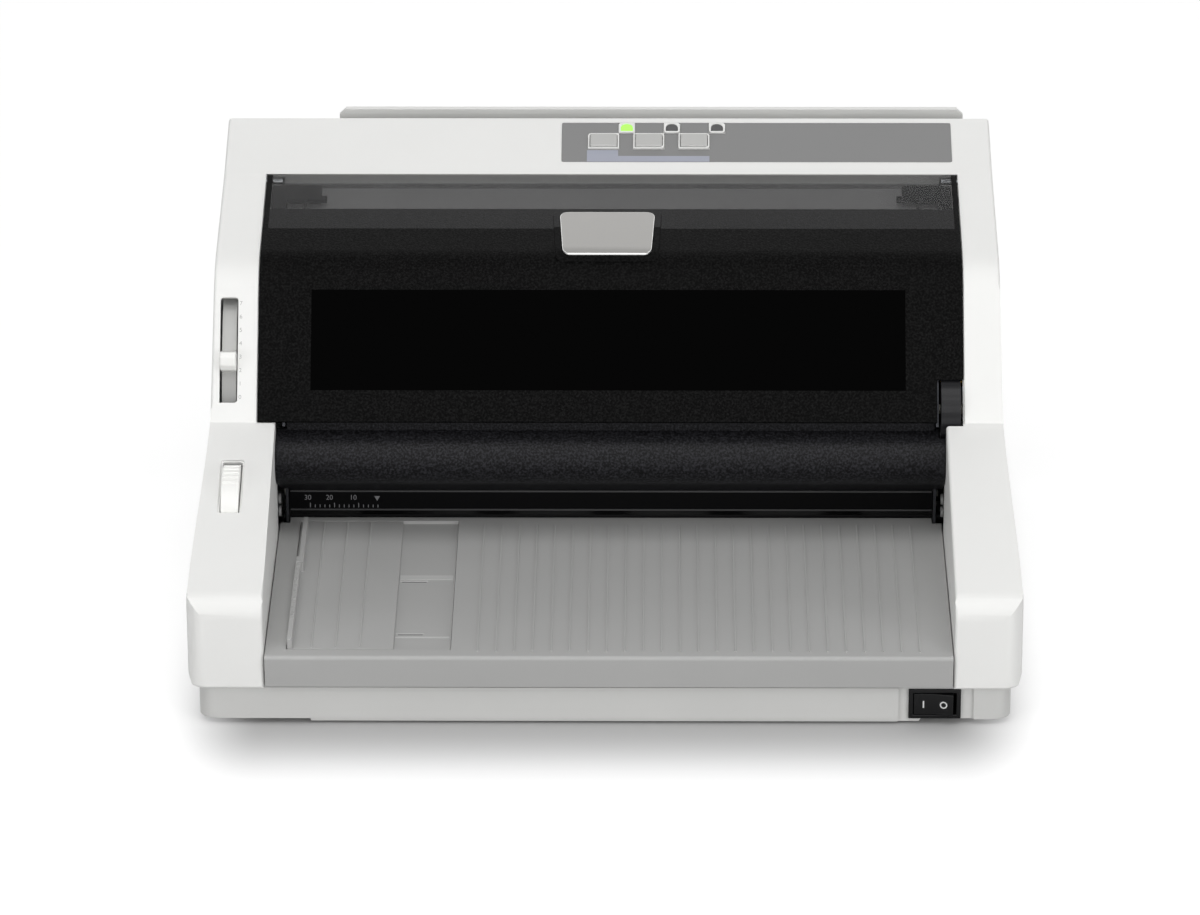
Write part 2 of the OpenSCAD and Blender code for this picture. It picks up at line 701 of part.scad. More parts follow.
module acoustic_cover() {
    half = cover_w / 2;
    color([0.1, 0.1, 0.11, 0.9]) from_front() difference() {
        union() {
            slab(mid - half, mid + half) polygon(hood_band(0, cover_t, bead_r));
            rod(hinge_c, bead_r, mid - half, mid + half);
            intersection() {
                slab(-100, 100) polygon(hood_band(-0.9, cover_t / 2));
                translate([0, 0, 100]) linear_extrude(150) polygon(badge_plan(3.5));
            }
        }
        for (side = [-1, 1])
            rod(hinge_c, hinge_pin_r, mid + side * half - 8, mid + side * half + 8);
        block(knob_x - 2, mid + half + 1, 0, body_d, 0, knob_p[1] + knob_open);
        rod(knob_c, knob_r + 1, knob_x - 2, mid + half + 1);
    }
}

module cover_hinge_pins() {
    color("#b8bcc0") from_front() for (side = [-1, 1])
        rod(hinge_c, hinge_pin_r, mid + side * cover_w / 2 - (side > 0 ? 8 : 6),
            mid + side * cover_w / 2 + (side > 0 ? 6 : 8));
}

module badge_plate() {
    color("#c9cbce") from_front() intersection() {
        slab(-100, 100) polygon(hood_band(-1.9, -0.9));
        translate([0, 0, 100]) linear_extrude(150) polygon(badge_plan(0));
    }
}

// Bullnose cover below the hood: an arc with a straight underside
module lower_front_cover() {
    half = bay_half - rest_gap;
    t = 2.5;
    from = 110;
    to = 240;
    inner = nose_low_r - t;
    under = [cos(to + 90), sin(to + 90)];
    over = [sin(from), -cos(from)];
    outer_arc = arc(nose_low, nose_low_r, from, to, 14);
    inner_arc = arc(nose_low, inner, to, from, 14);
    color("#1c1c1e") from_front() difference() {
        slab(mid - half, mid + half)
            polygon(concat([nose_low + nose_low_r * [cos(from), sin(from)] + 9 * over], outer_arc,
                [outer_arc[14] + 28 * under], [inner_arc[0] + 28 * under], inner_arc,
                [nose_low + inner * [cos(from), sin(from)] + 9 * over]));
        for (side = [-1, 1]) {
            x = mid + side * (plate_in + 9.7);
            block(x - 10, x + 10, plate_front - 0.4, plate_back, 0, hood_z + 8.1);
        }
        rod(knob_c, knob_r + 1, knob_x - 1, knob_x + 20);
    }
}

module entry_scale_strip() {
    strip_y = plate_front + 4.5;
    strip_z = paper_z + 3.2;
    color("#19191b") from_front()
        slab(mid - plate_in, mid + plate_in)
            polygon([[strip_y, strip_z], [strip_y + 3.5, strip_z],
                [strip_y + 3.5, strip_z + 9.6], [strip_y + 1.5, strip_z + 9.6]]);
}

module sheet_tray() {
    half = bay_half - seam;
    color("#a0a0a0") from_front() difference() {
        union() {
            on_tray() {
                slab(mid - half, mid + half)
                    polygon(concat([[0, -17], [2.8, -17], [2.8, -tray_t], [tray_len, -tray_t],
                        [tray_len, 0]],
                        arc([tray_edge_r, -tray_edge_r], tray_edge_r, 90, 180, 5)));
                for (side = [-1, 1]) {
                    x = mid + side * (half - 1.25);
                    block(x - 1.25, x + 1.25, 2, tray_len, -9, -tray_t + 0.5);
                }
                for (x = [rib_right:-rib_pitch:slide_x + slide_w + 12])
                    block(x - 0.45, x + 0.45, 6, tray_len - 8, -0.5, 0.6);
            }
            for (x = [-120, 0, 120])
                slab(mid + x - 2, mid + x + 2)
                    polygon([[4.5, base_top], [8, base_top], [16, tray_z], [4.5, tray_z - 2]]);
        }
        on_tray() {
            block(slide_x, slide_x + slide_w, 8, tray_len - 4, -1.7, 5);
            block(slide_x + 8.5, slide_x + 17.5 + guide_travel, 70, 75, -20, 5);
        }
        for (side = [-1, 1]) {
            x = mid + side * (plate_in + 9.5);
            block(x - 10, x + 10, plate_front - seam, tray_len + 10, 0, 100);
        }
    }
}

// Sliding guide for the sheet's left edge, with three ribs, a fence and a foot under the tray
module sheet_guide() {
    color("#a6a6a6") from_front() on_tray() translate([slide_x + 0.5, 0, 0]) {
        block(0, 52.7, 8.5, tray_len - 4.5, -1.4, 0);
        for (x = [12, 24, 36]) block(x - 0.4, x + 0.4, 10, tray_len - 6, -0.5, 0.5);
        block(0, 2.4, 8.5, 96, -0.5, 5.5);
        block(1.4, 3.8, 90, tray_len - 10, -0.5, 5.5);
        block(8.5, 16.5, 70.4, 74.6, -tray_t - 1.6, -0.5);
        block(8.5, 16.5, 66, 79, -tray_t - 1.6, -tray_t - 0.3);
    }
}

// Lever that turns the carriage shaft, with its tab standing out of the case
module thickness_lever() {
    tip = lever_reach + 7.5;
    color("#f2f2ee") from_front() difference() {
        slab(lever_x - lever_w / 2, lever_x + lever_w / 2)
            translate(rail_c) rotate(90 + hood_angle + lever_tilt) difference() {
                union() {
                    circle(r = 10, $fn = 64);
                    polygon([[0, -7], [lever_reach - 16, -4], [lever_reach - 8, -4.5],
                        [tip - 3.5, -5.2], [tip - 1, -4.2], [tip, -1.5], [tip - 1.5, 2.6],
                        [tip - 4.5, 4.6], [lever_reach - 8, 4.5], [lever_reach - 16, 4], [0, 7]]);
                }
                translate([44, 0]) square([40, 4], center = true);
            }
        rod(rail_c, rail_r, -body_w, 0);
    }
}

module paper_select_lever() {
    top = 90 + arm_angle;
    color("#f4f4f0") from_front() difference() {
        union() {
            slab(select_x - select_w / 2, select_x + select_w / 2) translate(select_c)
                polygon(concat([[0, 0]], arc([0, 0], select_r, top - 36, top + 72, 24)));
            rod(select_c, 7, select_x - select_w / 2, select_x + select_w / 2);
            for (i = [0:4])
                rod(select_c + select_r * [cos(top - 26 + i * 8), sin(top - 26 + i * 8)], 0.7,
                    select_x - select_w / 2 + 0.6, select_x + select_w / 2 - 0.6);
        }
        rod(select_c, select_pin_r + running, -body_w, 0);
    }
}

module power_switch_body() {
    y0 = base_front + 1.2;
    color("#151515") from_front() difference() {
        union() {
            block(switch_x - switch_w / 2, switch_x + switch_w / 2, y0 - 1.4, y0,
                switch_z - switch_h / 2, switch_z + switch_h / 2);
            block(switch_x - 12, switch_x + 12, y0, y0 + 20, switch_z - 6.8, switch_z + 6.8);
            for (x = [-7, 0, 7])
                block(switch_x + x - 0.4, switch_x + x + 0.4, y0 + 20, y0 + 27,
                    switch_z - 2.4, switch_z + 2.4);
        }
        block(switch_x - 10.7, switch_x + 10.7, y0 - 5, y0 + 12, switch_z - 5.9, switch_z + 5.9);
        post(switch_x, y0 + rocker_back, 1.2 + running, switch_z - 6.4, switch_z + 6.4);
    }
}

module power_switch_rocker() {
    color("#1b1b1b") from_front() translate([switch_x, base_front + 1.2 + rocker_back, switch_z]) {
        rotate([0, 0, rocker_tilt]) translate([0, 0, -rocker_h / 2]) linear_extrude(rocker_h)
            polygon([[-rocker_w / 2, -6.6], [0, -5.6], [rocker_w / 2, -6.6], [rocker_w / 2, -2.5],
                [6, 3], [-6, 3], [-rocker_w / 2, -2.5]]);
        translate([0, 0, -6.3]) cylinder(h = 12.6, r = 1.2, $fn = 32);
    }
}

module feed_knob() {
    color("#202022") from_front() difference() {
        slab(knob_x, knob_x + knob_w) translate(knob_c)
            polygon([for (i = [0:71])
                (knob_r - (i % 4 < 2 ? 0 : 0.5)) * [cos(i * 5), sin(i * 5)]]);
        rod(knob_c, stud_r, knob_x - 1, knob_x + knob_w + 1);
        rod(knob_c, knob_r - 3, knob_x + knob_w - 1.2, knob_x + knob_w + 1);
    }
}

module knob_gear() {
    color("#e9e6da") from_front() {
        gear(knob_c, knob_teeth, knob_turn, 0);
        rod(knob_c, stud_r, mid + plate_in - 1, gear_end + 1);
    }
}

module rear_sheet_guide() {
    dir = [cos(back_angle), -sin(back_angle)];
    side = [sin(back_angle), cos(back_angle)];
    half = guide_t / 2;
    color("#c9c9c6") from_front() {
        difference() {
            slab(guide_left, guide_right) polygon([guide_top - half * side,
                guide_top + half * side, guide_hinge + half * side, guide_hinge - half * side]);
            for (x = [guide_left, guide_right]) translate([x, guide_top[0], guide_top[1]])
                rotate([0, 45, 0]) cube([5, 30, 5], center = true);
        }
        rod(guide_hinge, guide_barrel_r, guide_left, guide_right);
        rod(guide_hinge, guide_pin_r, guide_left - 4, guide_right + 4);
        for (x = [-100, -40, 20, 80, 140])
            slab(x - 1, x + 1) polygon([guide_top + half * side + 8 * dir,
                guide_top + 3.2 * side + 14 * dir, guide_hinge + 3.2 * side - 6 * dir,
                guide_hinge + half * side]);
    }
}

module chassis_floor() {
    color("#b9bcbf") from_front() difference() {
        block(mid - plate_in, mid + plate_in, plate_front, plate_back, floor_z, floor_z + sheet_t);
        for (x = [-110:40:130], y = [plate_front + 33, plate_front + 53])
            translate([x, y, 0]) cylinder(h = 30, r = 4, $fn = 32);
    }
}

// Side view of the side plates: up to the hood at the front and low at the back
plate_top = hood_z + 31.1;
plate_outline = [[plate_front, floor_z], [plate_front, hood_z - 4.1], [hood_y + 3.7, hood_z - 4.1],
    cross_point(shifted(hood_low, hood_angle, 3.2), hood_angle, [0, hood_z + 6.1], 0),
    cross_point(shifted(hood_low, hood_angle, 3.2), hood_angle, [0, plate_top], 0),
    [hood_y + 61, plate_top], [hood_y + 71, plate_top - 21], [plate_back - 49, plate_top - 21],
    [plate_back - 11, 96], [plate_back, 70], [plate_back, floor_z]];

// Bores shared by both side plates
module shaft_bores() {
    rod(platen_c, platen_shaft_r + running, -300, 300);
    rod(front_c, feed_shaft_r + running, -300, 300);
    rod(rear_c, feed_shaft_r + running, -300, 300);
    rod([front_c[0], pinch_z], pinch_shaft_r + running, -300, 300);
    rod([rear_c[0], pinch_z], pinch_shaft_r + running, -300, 300);
    rod(tractor_c, platen_shaft_r + running, -300, 300);
    rod(guide_rod_c, guide_rod_r, -300, 300);
    rod(rail_c, rail_r + running, -300, 300);
}

module left_side_plate() {
    color("#b9bcbf") from_front() difference() {
        slab(mid - plate_out, mid - plate_in) polygon(plate_outline);
        shaft_bores();
    }
}

module right_side_plate() {
    color("#b9bcbf") from_front() difference() {
        slab(mid + plate_in, mid + plate_out) polygon(plate_outline);
        shaft_bores();
        rod(knob_c, stud_r + running, 0, 300);
        rod(motor_c, 6, 0, 300);
        for (c = [upper_c, lower_c, rear_idler_c, tractor_idler_c]) rod(c, stud_r, 0, 300);
    }
}

module gear_studs() {
    color("#c4c7ca") from_front()
        for (c = [upper_c, lower_c, rear_idler_c, tractor_idler_c]) {
            rod(c, stud_r, mid + plate_in, gear_end + 0.4);
            rod(c, stud_r + 2, mid + plate_out, gear_x - rest_gap);
            rod(c, stud_r + 1, gear_end + rest_gap, gear_end + 1.5);
        }
}

module paper_guide_plate() {
    z0 = paper_plate_z - paper_plate_t;
    color("#a9adb0") from_front() difference() {
        block(mid - plate_in, mid + plate_in, tray_len + 1.8, tractor_front - 4, z0, paper_plate_z);
        block(mid - platen_half - 2, mid + platen_half + 2, platen_y - 8.5, platen_y + 8.5, 0, 100);
        for (x = ring_spots, c = [front_c, rear_c])
            block(mid + x - ring_w / 2 - 1, mid + x + ring_w / 2 + 1, c[0] - 7.5, c[0] + 7.5, 0, 100);
    }
}

module platen_roller() {
    color("#242426") from_front() {
        rod(platen_c, platen_r, mid - platen_half, mid + platen_half);
        rod(platen_c, platen_shaft_r, mid - plate_out - 3, gear_end + 1);
    }
}

module platen_gear() {
    color("#e9e6da") from_front() gear(platen_c, platen_teeth, platen_turn, platen_shaft_r);
}

// A feed roller: a shaft with five rubber rings and its gear pressed on
module feed_roller(c, turn) {
    rod(c, feed_shaft_r, mid - plate_out - 3, gear_end + 1);
    for (x = ring_spots) rod(c, feed_r, mid + x - ring_w / 2, mid + x + ring_w / 2);
    gear(c, feed_teeth, turn, 0);
}
module front_feed_roller() { color("#3a3a3c") from_front() feed_roller(front_c, front_turn); }
module rear_feed_roller() { color("#3a3a3c") from_front() feed_roller(rear_c, rear_turn); }

// A pinch roller: a thin shaft with five rings over the feed roller's
module pinch_roller(c) {
    rod([c[0], pinch_z], pinch_shaft_r, mid - plate_out - 2, mid + plate_out + 2);
    for (x = ring_spots)
        rod([c[0], pinch_z], pinch_r, mid + x - ring_w / 2, mid + x + ring_w / 2);
}
module front_pinch_roller() { color("#e4e4e0") from_front() pinch_roller(front_c); }
module rear_pinch_roller() { color("#e4e4e0") from_front() pinch_roller(rear_c); }

module upper_idler_gear() {
    color("#e9e6da") from_front() gear(upper_c, upper_teeth, upper_turn, stud_r + running);
}
module lower_idler_gear() {
    color("#e9e6da") from_front() gear(lower_c, lower_teeth, lower_turn, stud_r + running);
}
module rear_idler_gear() {
    color("#e9e6da") from_front() gear(rear_idler_c, idler_teeth, rear_idler_turn, stud_r + running);
}
module tractor_idler_gear() {
    color("#e9e6da") from_front()
        gear(tractor_idler_c, idler_teeth, tractor_idler_turn, stud_r + running);
}

module tractor_shaft() {
    color("#c4c7ca") from_front() {
        rod(tractor_c, platen_shaft_r, mid - plate_out - 3, gear_end + 1);
        gear(tractor_c, feed_teeth, tractor_turn, 0);
    }
}

module tractor_guide_rod() {
    color("#c4c7ca") from_front()
        rod(guide_rod_c, guide_rod_r, mid - plate_out - 1, mid + plate_out + 1);
}

// A tractor: a frame on two shafts, with a row of pins and the hinge rod of its flap
module tractor(x, side) {
    x0 = x - tractor_w / 2;
    x1 = x + tractor_w / 2;
    outer = x + side * (tractor_w / 2 + 2);
    color("#2c3036") from_front() {
        difference() {
            union() {
                block(x0, x1, tractor_front, tractor_back, tractor_z - 9, paper_z - 0.4);
                for (y = [tractor_front, tractor_back - 4])
                    block(min(outer, x), max(outer, x), y, y + 4, paper_z - 7, flap_z + 1.6);
            }
            rod(tractor_c, platen_shaft_r + running, -300, 300);
            rod(guide_rod_c, guide_rod_r + running, -300, 300);
            block(min(x, x - side * 20), max(x, x - side * 20), tractor_front - 1,
                tractor_back + 1, paper_z - 0.4, flap_z + 3);
        }
        for (i = [-1:1])
            post(x + side * 2, tractor_c[0] + i * pin_pitch, 1.2, paper_z - 2, paper_z + 1.6);
        translate([outer - side * 1.8, tractor_front + 1, flap_z]) rotate([-90, 0, 0])
            cylinder(h = tractor_back - tractor_front - 2, r = flap_hinge_r, $fn = 32);
    }
}
module left_tractor() { tractor(mid - tractor_x, -1); }
module right_tractor() { tractor(mid + tractor_x, 1); }

// The flap that holds the paper down on the pins
module flap(x, side) {
    hinge_x = x + side * (tractor_w / 2 + 0.2);
    far = x - side * (tractor_w / 2);
    color("#3a6f8f") from_front() difference() {
        union() {
            block(min(hinge_x, far), max(hinge_x, far), tractor_front + 4.4, tractor_back - 4.4,
                flap_z - 0.9, flap_z + flap_t - 0.9);
            translate([hinge_x, tractor_front + 4.4, flap_z]) rotate([-90, 0, 0])
                cylinder(h = tractor_back - tractor_front - 8.8, r = 1.9, $fn = 32);
        }
        translate([hinge_x, tractor_front, flap_z]) rotate([-90, 0, 0])
            cylinder(h = 50, r = flap_hinge_r + running, $fn = 32);
        for (i = [-1:1])
            post(x + side * 2, tractor_c[0] + i * pin_pitch, 2.2, paper_z, paper_z + 10);
    }
}
module left_tractor_flap() { flap(mid - tractor_x, -1); }
module right_tractor_flap() { flap(mid + tractor_x, 1); }

module line_feed_motor() {
    x1 = mid + plate_in;
    color("#3b3d40") from_front() difference() {
        union() {
            rod(motor_c, 20, x1 - 33, x1 - 2);
            block(x1 - 2, x1, motor_c[0] - 20, motor_c[0] + 20, motor_c[1] - 20, motor_c[1] + 20);
        }
        rod(motor_c, stud_r + running, x1 - 22, x1 + 1);
    }
}

module motor_pinion() {
    color("#c9a85a") from_front() {
        gear(motor_c, motor_teeth, motor_turn, 0);
        rod(motor_c, stud_r, mid + plate_in - 21, gear_end + 0.5);
    }
}

module carriage_shaft() {
    color("#cdd0d3") from_front()
        rod(rail_c, rail_r, lever_x - lever_w / 2 - 1, mid + plate_out + 4);
}

// Rail behind the carriage: a plate with an upright flange that the carriage hooks over
module rear_rail() {
    x0 = mid - plate_in;
    x1 = mid + plate_in;
    color("#b9bcbf") from_front() difference() {
        union() {
            block(x0, x1, flange_y, flange_y + sheet_t, rail_z, rail_z + flange_h);
            block(x0, x1, flange_y, flange_y + 40, rail_z, rail_z + sheet_t);
        }
        for (side = [-1, 1]) post(mid + side * pulley_x, belt_y, 2.5, 0, 200);
    }
}

module carriage() {
    x0 = carriage_home - carriage_w / 2;
    x1 = carriage_home + carriage_w / 2;
    y0 = rail_c[0];
    z0 = rail_c[1];
    lip = flange_y + sheet_t + slide_gap;
    top = rail_z + flange_h + slide_gap;
    color("#2a2c30") from_front() difference() {
        union() {
            slab(x0, x1) polygon([[head_face, z0 - 14], [head_face, z0 + 7], [y0 - 4, z0 + 11],
                [y0 + 8, z0 + 11], [y0 + 11, z0 + 5], [flange_y - 4, z0 + 5],
                [flange_y - 4, top + 2.4], [lip + 3, top + 2.4], [lip + 3, rail_z + 6],
                [lip, rail_z + 6], [lip, top], [flange_y - slide_gap, top],
                [flange_y - slide_gap, z0 - 8], [y0 + 11, z0 - 8], [y0 + 9, z0 - 14]]);
            block(carriage_home - 10, carriage_home + 10, flange_y - slide_gap - 1, belt_y - 4,
                belt_z - 5, belt_z + belt_w + 3);
            for (side = [-1, 1])
                block(carriage_home + side * 15.5 - 1.2, carriage_home + side * 15.5 + 1.2,
                    head_face - 16, head_face + 1, z0 - 14, z0 + 2);
        }
        rod(rail_c, rail_r + running, -300, 300);
        block(-300, 300, belt_y - pulley_r - belt_t / 2 - slide_gap,
            belt_y - pulley_r + belt_t / 2 + slide_gap, belt_z - slide_gap, belt_z + 20);
    }
}

// Print head: a block with cooling fins and a narrow nose over the ribbon
module print_head() {
    x = carriage_home;
    y0 = head_face - 18.7;
    z0 = rail_c[1] - 32;
    nose_y = platen_y;
    color("#4a4d52") from_front() {
        block(x - 11, x + 11, y0, head_face, z0, z0 + 33);
        for (i = [0:6])
            block(x - 14, x + 14, y0 - 1, head_face - 2, z0 + 3 + i * 4.2, z0 + 4.4 + i * 4.2);
        slab(x - 7, x + 7)
            polygon([[nose_y - 7, z0], [nose_y - 2.5, ribbon_z + ribbon_t + 0.6],
                [nose_y + 2.5, ribbon_z + ribbon_t + 0.6], [nose_y + 7, z0]]);
    }
}

// Ribbon cartridge: a long box in front of the head with an arm at each end
module ribbon_cartridge() {
    box_low = pinch_z + pinch_r + 5;
    front = platen_y - 52;
    back = platen_y - 18;
    color("#202226") from_front() difference() {
        union() {
            slab(mid - ribbon_half - 12, mid + ribbon_half + 12)
                polygon([[front, box_low], [back, box_low], [back, 88], [back - 7, 92],
                    [front + 5, 92], [front, 88]]);
            for (side = [-1, 1]) {
                x = mid + side * (ribbon_half + 6);
                block(x - 6, x + 6, back - 14, back, paper_z + 0.8, box_low + 1);
                block(x - 6, x + 6, back - 7, platen_y + 8, paper_z + 0.8, paper_z + 7.5);
            }
            post(mid + ribbon_half + 1, back - 16, 8, 91, 98);
        }
        block(mid - ribbon_half + 8, mid + ribbon_half - 8, front + 7, back - 7, 90.5, 95);
    }
}

module ink_ribbon() {
    color("#0c0c0e") from_front()
        block(mid - ribbon_half, mid + ribbon_half, platen_y - ribbon_w / 2,
            platen_y + ribbon_w / 2, ribbon_z, ribbon_z + ribbon_t);
}

module carriage_motor() {
    z0 = rail_z + sheet_t;
    color("#3b3d40") from_front() difference() {
        union() {
            post(mid - pulley_x, belt_y, 14, z0, z0 + 26);
            post(mid - pulley_x, belt_y, 5, z0 + 26, z0 + 28);
        }
        post(mid - pulley_x, belt_y, 2 + running, z0 - 1, z0 + 18);
    }
}

// A pulley with two flanges and its shaft up through the rail
module pulley(x, top) {
    color("#d8d4c4") from_front() {
        post(x, belt_y, pulley_r - belt_t / 2 - 0.3, belt_z - 1, belt_z + belt_w + 1);
        post(x, belt_y, pulley_r + 1.5, belt_z - 1, belt_z - 0.3);
        post(x, belt_y, pulley_r + 1.5, belt_z + belt_w + 0.3, belt_z + belt_w + 1);
        post(x, belt_y, 2, belt_z - 1, top);
    }
}
module drive_pulley() { pulley(mid - pulley_x, rail_z + sheet_t + 17); }
module idler_pulley() { pulley(mid + pulley_x, rail_z + sheet_t + 3); }

module timing_belt() {
    color("#1a1a1a") from_front() translate([0, belt_y, belt_z]) difference() {
        union() {
            for (side = [-1, 1]) translate([mid + side * pulley_x, 0, 0])
                cylinder(h = belt_w, r = pulley_r + belt_t / 2, $fn = 64);
            block(mid - pulley_x, mid + pulley_x, -pulley_r - belt_t / 2, pulley_r + belt_t / 2,
                0, belt_w);
        }
        for (side = [-1, 1]) translate([mid + side * pulley_x, 0, -1])
            cylinder(h = belt_w + 2, r = pulley_r - belt_t / 2, $fn = 64);
        block(mid - pulley_x, mid + pulley_x, -pulley_r + belt_t / 2, pulley_r - belt_t / 2,
            -1, belt_w + 1);
    }
}

module main_board() {
    top = board_z + 1.6;
    color("#2f6b3a") from_front() {
        block(board_left, board_right, 20, board_back, board_z, top);
        for (i = [0:3])
            block(board_left + 30 + i * 42, board_left + 54 + i * 42, 40, 64, top, top + 3);
        block(board_right - 80, board_right - 24, 60, 76, top, top + 9);
        for (i = [0:4]) post(board_left + 20 + i * 18, board_back - 28, 5, top, top + 11);
        for (i = [0:2])
            block(board_right - 160 + i * 44, board_right - 130 + i * 44, board_back - 14,
                board_back - 6, top, top + 8);
    }
}

module power_supply() {
    low = floor_z + sheet_t;
    top = low + 5.1;
    color("#3c6a44") from_front() translate([mid - plate_in + 6.5, plate_back - 89, 0]) {
        block(0, 146, 0, 84, low + 3.5, top);
        for (x = [8, 138], y = [8, 76]) post(x, y, 3, low, low + 3.5);
        block(38, 74, 26, 58, top, top + 14);
        for (i = [0:2]) post(92 + i * 15, 68, 6, top, top + 13);
        for (i = [0:5]) block(98 + i * 7, 100.5 + i * 7, 10, 40, top, top + 12);
    }
}

module ac_inlet() {
    color("#141414") from_front() difference() {
        union() {
            block(inlet_x - 13.4, inlet_x + 13.4, back_y - 14, back_y, 22.1, 41.9);
            block(inlet_x - 15, inlet_x + 15, back_y, back_y + 1.5, 20.6, 43.4);
        }
        difference() {
            block(inlet_x - 12, inlet_x + 12, back_y - 10, back_y + 5, 24, 40);
            for (x = [-7, 0, 7])
                block(inlet_x + x - 1, inlet_x + x + 1, back_y - 12, back_y - 1, 30, 35);
        }
    }
}

module data_ports() {
    y0 = back_y - 14;
    color("#8d9196") from_front() {
        block(usb_x - 20, parallel_x + 42, y0 - 1.6, y0, 21, 44);
        difference() {
            block(parallel_x - 32.6, parallel_x + 32.6, y0, back_y + 1.5, 25.8, 41.2);
            block(parallel_x - 27, parallel_x + 27, back_y - 8, back_y + 5, 29, 38);
        }
        difference() {
            block(usb_x - 6, usb_x + 6, y0, back_y + 1, 25.8, 37);
            block(usb_x - 4.3, usb_x + 4.3, back_y - 9, back_y + 5, 27.4, 35.2);
        }
    }
}

base_pan();
rubber_feet();
upper_case();
control_panel();
left_button();
middle_button();
right_button();
indicator_lenses();
panel_board();
acoustic_cover();
cover_hinge_pins();
badge_plate();
lower_front_cover();
entry_scale_strip();
sheet_tray();
sheet_guide();
thickness_lever();
paper_select_lever();
power_switch_body();
power_switch_rocker();
feed_knob();
knob_gear();
rear_sheet_guide();
chassis_floor();
left_side_plate();
right_side_plate();
gear_studs();
paper_guide_plate();
platen_roller();
platen_gear();
front_feed_roller();
rear_feed_roller();
front_pinch_roller();
rear_pinch_roller();
upper_idler_gear();
lower_idler_gear();
rear_idler_gear();
tractor_idler_gear();
tractor_shaft();
tractor_guide_rod();
left_tractor();
right_tractor();
left_tractor_flap();
right_tractor_flap();
line_feed_motor();
motor_pinion();
carriage_shaft();
rear_rail();
carriage();
print_head();
ribbon_cartridge();
ink_ribbon();
carriage_motor();
drive_pulley();
idler_pulley();
timing_belt();
main_board();
power_supply();
ac_inlet();
data_ports();
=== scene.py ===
"""Looks of a flatbed dot matrix printer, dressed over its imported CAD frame."""

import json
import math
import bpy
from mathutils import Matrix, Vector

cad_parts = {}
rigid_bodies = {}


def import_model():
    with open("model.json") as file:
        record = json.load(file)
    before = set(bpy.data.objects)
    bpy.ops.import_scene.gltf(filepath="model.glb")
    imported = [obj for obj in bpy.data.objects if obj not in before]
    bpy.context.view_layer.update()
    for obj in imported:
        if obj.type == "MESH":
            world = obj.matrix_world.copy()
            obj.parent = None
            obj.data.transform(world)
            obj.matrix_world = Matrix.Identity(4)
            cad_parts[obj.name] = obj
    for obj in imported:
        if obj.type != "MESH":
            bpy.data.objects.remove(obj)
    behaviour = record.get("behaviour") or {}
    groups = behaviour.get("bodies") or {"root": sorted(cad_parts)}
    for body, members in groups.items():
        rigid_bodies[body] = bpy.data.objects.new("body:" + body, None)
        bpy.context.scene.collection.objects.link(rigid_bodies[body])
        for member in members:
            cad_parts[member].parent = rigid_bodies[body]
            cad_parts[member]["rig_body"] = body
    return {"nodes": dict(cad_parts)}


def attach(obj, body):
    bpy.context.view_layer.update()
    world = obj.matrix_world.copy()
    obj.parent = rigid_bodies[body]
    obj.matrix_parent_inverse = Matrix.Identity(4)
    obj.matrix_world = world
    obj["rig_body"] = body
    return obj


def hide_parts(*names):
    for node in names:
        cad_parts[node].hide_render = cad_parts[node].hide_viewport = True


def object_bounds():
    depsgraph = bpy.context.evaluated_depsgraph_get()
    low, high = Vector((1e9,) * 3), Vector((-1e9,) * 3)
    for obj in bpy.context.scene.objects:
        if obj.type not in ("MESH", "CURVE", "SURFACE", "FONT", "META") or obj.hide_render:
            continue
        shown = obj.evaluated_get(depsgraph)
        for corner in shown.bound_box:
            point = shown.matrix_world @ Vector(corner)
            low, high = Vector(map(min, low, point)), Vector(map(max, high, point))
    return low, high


bl_info = {
    "name": "Dot Matrix Printer Dressing",
    "version": (1, 0, 0),
    "blender": (4, 5, 0),
    "location": "3D View > Sidebar > Printer",
    "description": "Dresses the printer's frame with soft edges, finishes, scales and small parts",
    "category": "Object",
}

import bmesh
import bpy
from mathutils import Matrix, Vector
from mathutils.geometry import intersect_point_line

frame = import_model()
CAD_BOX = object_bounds()
FRONT = CAD_BOX[0].y  # front edge of the paper tray

WHITE = (1, 1, 1, 1)
MERGE = 2e-6  # corners closer than this are one corner, m
FLATNESS = 0.6  # neighbouring faces count as one flat face up to this angle, degrees
ROOM_ALONG = 2.3  # room that a rounded edge needs along its neighbours, in radii
ROOM_ACROSS = 2.2  # and across its two faces
ALONG = 0.85  # edges whose directions' product is above this run on in one line
LEAN = 0.6  # a gap across a face may lean along the edge by this part of its length
OFF_PLANE = 2e-5  # a corner this far off its old face's plane has warped it, m
TURNED = -1e-10  # a triangle whose signed size is below this is turned over, square m
BROAD = 2e-5  # a face above this area counts as broad, square m
APART = 0.35  # faces whose normals' product is below this differ a lot in slope
PATCH = 45  # a moulding's colour drifts over patches of this size, mm
STREAK = 60  # marks in metal are this many times longer than wide


def mm(x, back, up):
    """A place in millimetres: X, distance back from the tray's front edge, height."""
    return Vector((x / 1000, FRONT + back / 1000, up / 1000))


def linear(code):
    """An sRGB hex colour as linear red, green, blue and alpha."""
    parts = [int(code[i : i + 2], 16) / 255 for i in (1, 3, 5)]
    return tuple(p / 12.92 if p <= 0.04045 else ((p + 0.055) / 1.055) ** 2.4 for p in parts) + (1,)


# ---------------------------------------------------------------- sizes and colours


def length(name, description, default, low=0.0, high=50.0):
    """A property that holds a length in millimetres."""
    return bpy.props.FloatProperty(
        name=name, description=description, default=default, min=low, max=high, precision=2
    )


def colour(name, description, code):
    """A property that holds a colour."""
    return bpy.props.FloatVectorProperty(
        name=name,
        description=description,
        default=linear(code)[:3],
        min=0,
        max=1,
        size=3,
        subtype="COLOR",
    )


